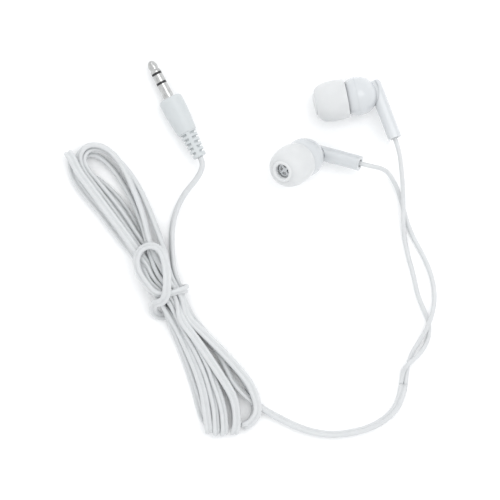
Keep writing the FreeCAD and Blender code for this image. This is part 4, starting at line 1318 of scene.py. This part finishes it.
# ------------------------------------------------------------------------------ this object's finishes
SHELL = GlossPlastic("shell_plastic", (0.615, 0.635, 0.652), (0.59, 0.61, 0.627), 0.2)
SILICONE = SoftSilicone("tip_silicone", (0.67, 0.68, 0.685), (0.645, 0.655, 0.66), 0.45)
JACKET = JacketRubber("jacket_rubber", (0.645, 0.658, 0.666), (0.615, 0.628, 0.636), 0.4)
JACKET_INSIDE = PlainMoulding("cord_inner_end", (0.79, 0.8, 0.81), (0.73, 0.74, 0.75), 0.45)
BLACK_RING = PlainMoulding("insulator_black", (0.02, 0.02, 0.022), (0.008, 0.008, 0.009), 0.35, 0.0, 5000.0,
                           0.000006)
FRAME_PLASTIC = PlainMoulding("frame_plastic", (0.045, 0.045, 0.05), (0.02, 0.02, 0.022), 0.45)
INNER_MOULD = PlainMoulding("inner_mould", (0.55, 0.56, 0.58), (0.48, 0.49, 0.5), 0.5)
MAGNET = PlainMoulding("magnet_nickel", (0.55, 0.55, 0.56), (0.4, 0.4, 0.42), 0.28, 1.0, 5000.0, 0.000004)
COPPER = PlainMoulding("enamelled_copper", (0.72, 0.32, 0.16), (0.5, 0.2, 0.09), 0.3, 0.9, 6000.0, 0.000004)
FILM = PlainMoulding("cone_film", (0.62, 0.6, 0.52), (0.5, 0.48, 0.4), 0.22, 0.0, 2500.0, 0.000006)
FELT = PlainMoulding("damping_felt", (0.8, 0.78, 0.72), (0.45, 0.44, 0.4), 0.92, 0.0, 7000.0, 0.00006)
BOARD = PlainMoulding("terminal_board", (0.05, 0.22, 0.09), (0.03, 0.14, 0.06), 0.4)

LEFT_BENDS: tuple[Place, ...] = (
    (19.52, -1.37, 8.12), (21.28, -6.01, 8.67),
    (22.1, -12.4, 7.2), (22.7, -18.4, 4.9), (22.9, -23.8, 3.4), (22.8, -29.4, 2.9), (23.2, -35.4, 1.0),
    (24.6, -42.0, 0.75), (26.5, -48.6, 0.75), (27.6, -54.4, 0.75), (29.6, -59.4, 0.75), (31.6, -63.8, 0.75),
    (31.7, -68.8, 0.75), (29.8, -73.0, 0.9), (26.6, -76.4, 2.9), (23.4, -79.0, 2.9), (22.6, -81.9, 0.9),
    (22.26, -84.67, 0.75),
)
RIGHT_BENDS: tuple[Place, ...] = (
    (7.33, -10.52, 7.74), (11.21, -11.58, 8.94),
    (16.7, -12.6, 6.0), (19.4, -16.1, 3.8), (21.4, -20.4, 1.6), (22.8, -25.4, 0.75), (24.4, -31.1, 0.75),
    (26.9, -36.8, 0.75), (30.1, -42.4, 0.75), (32.6, -48.8, 0.75), (33.6, -54.8, 0.9), (33.0, -60.1, 3.0),
    (31.3, -65.2, 3.0), (28.6, -70.1, 0.9), (25.8, -74.4, 0.75), (24.5, -78.4, 0.75), (24.0, -81.8, 0.75),
    (23.74, -84.93, 0.75),
)


def main() -> None:
    """Build the earphones and the studio."""
    logging.basicConfig(level=logging.INFO, format="%(message)s")
    Studio().build()
    for side in Side:
        Earbud(side).build()
    Plug().build()
    Lead(Side.LEFT, LEFT_BENDS).build()
    Lead(Side.RIGHT, RIGHT_BENDS).build()
    MainCord().build()


if __name__ == "__main__":
    main()
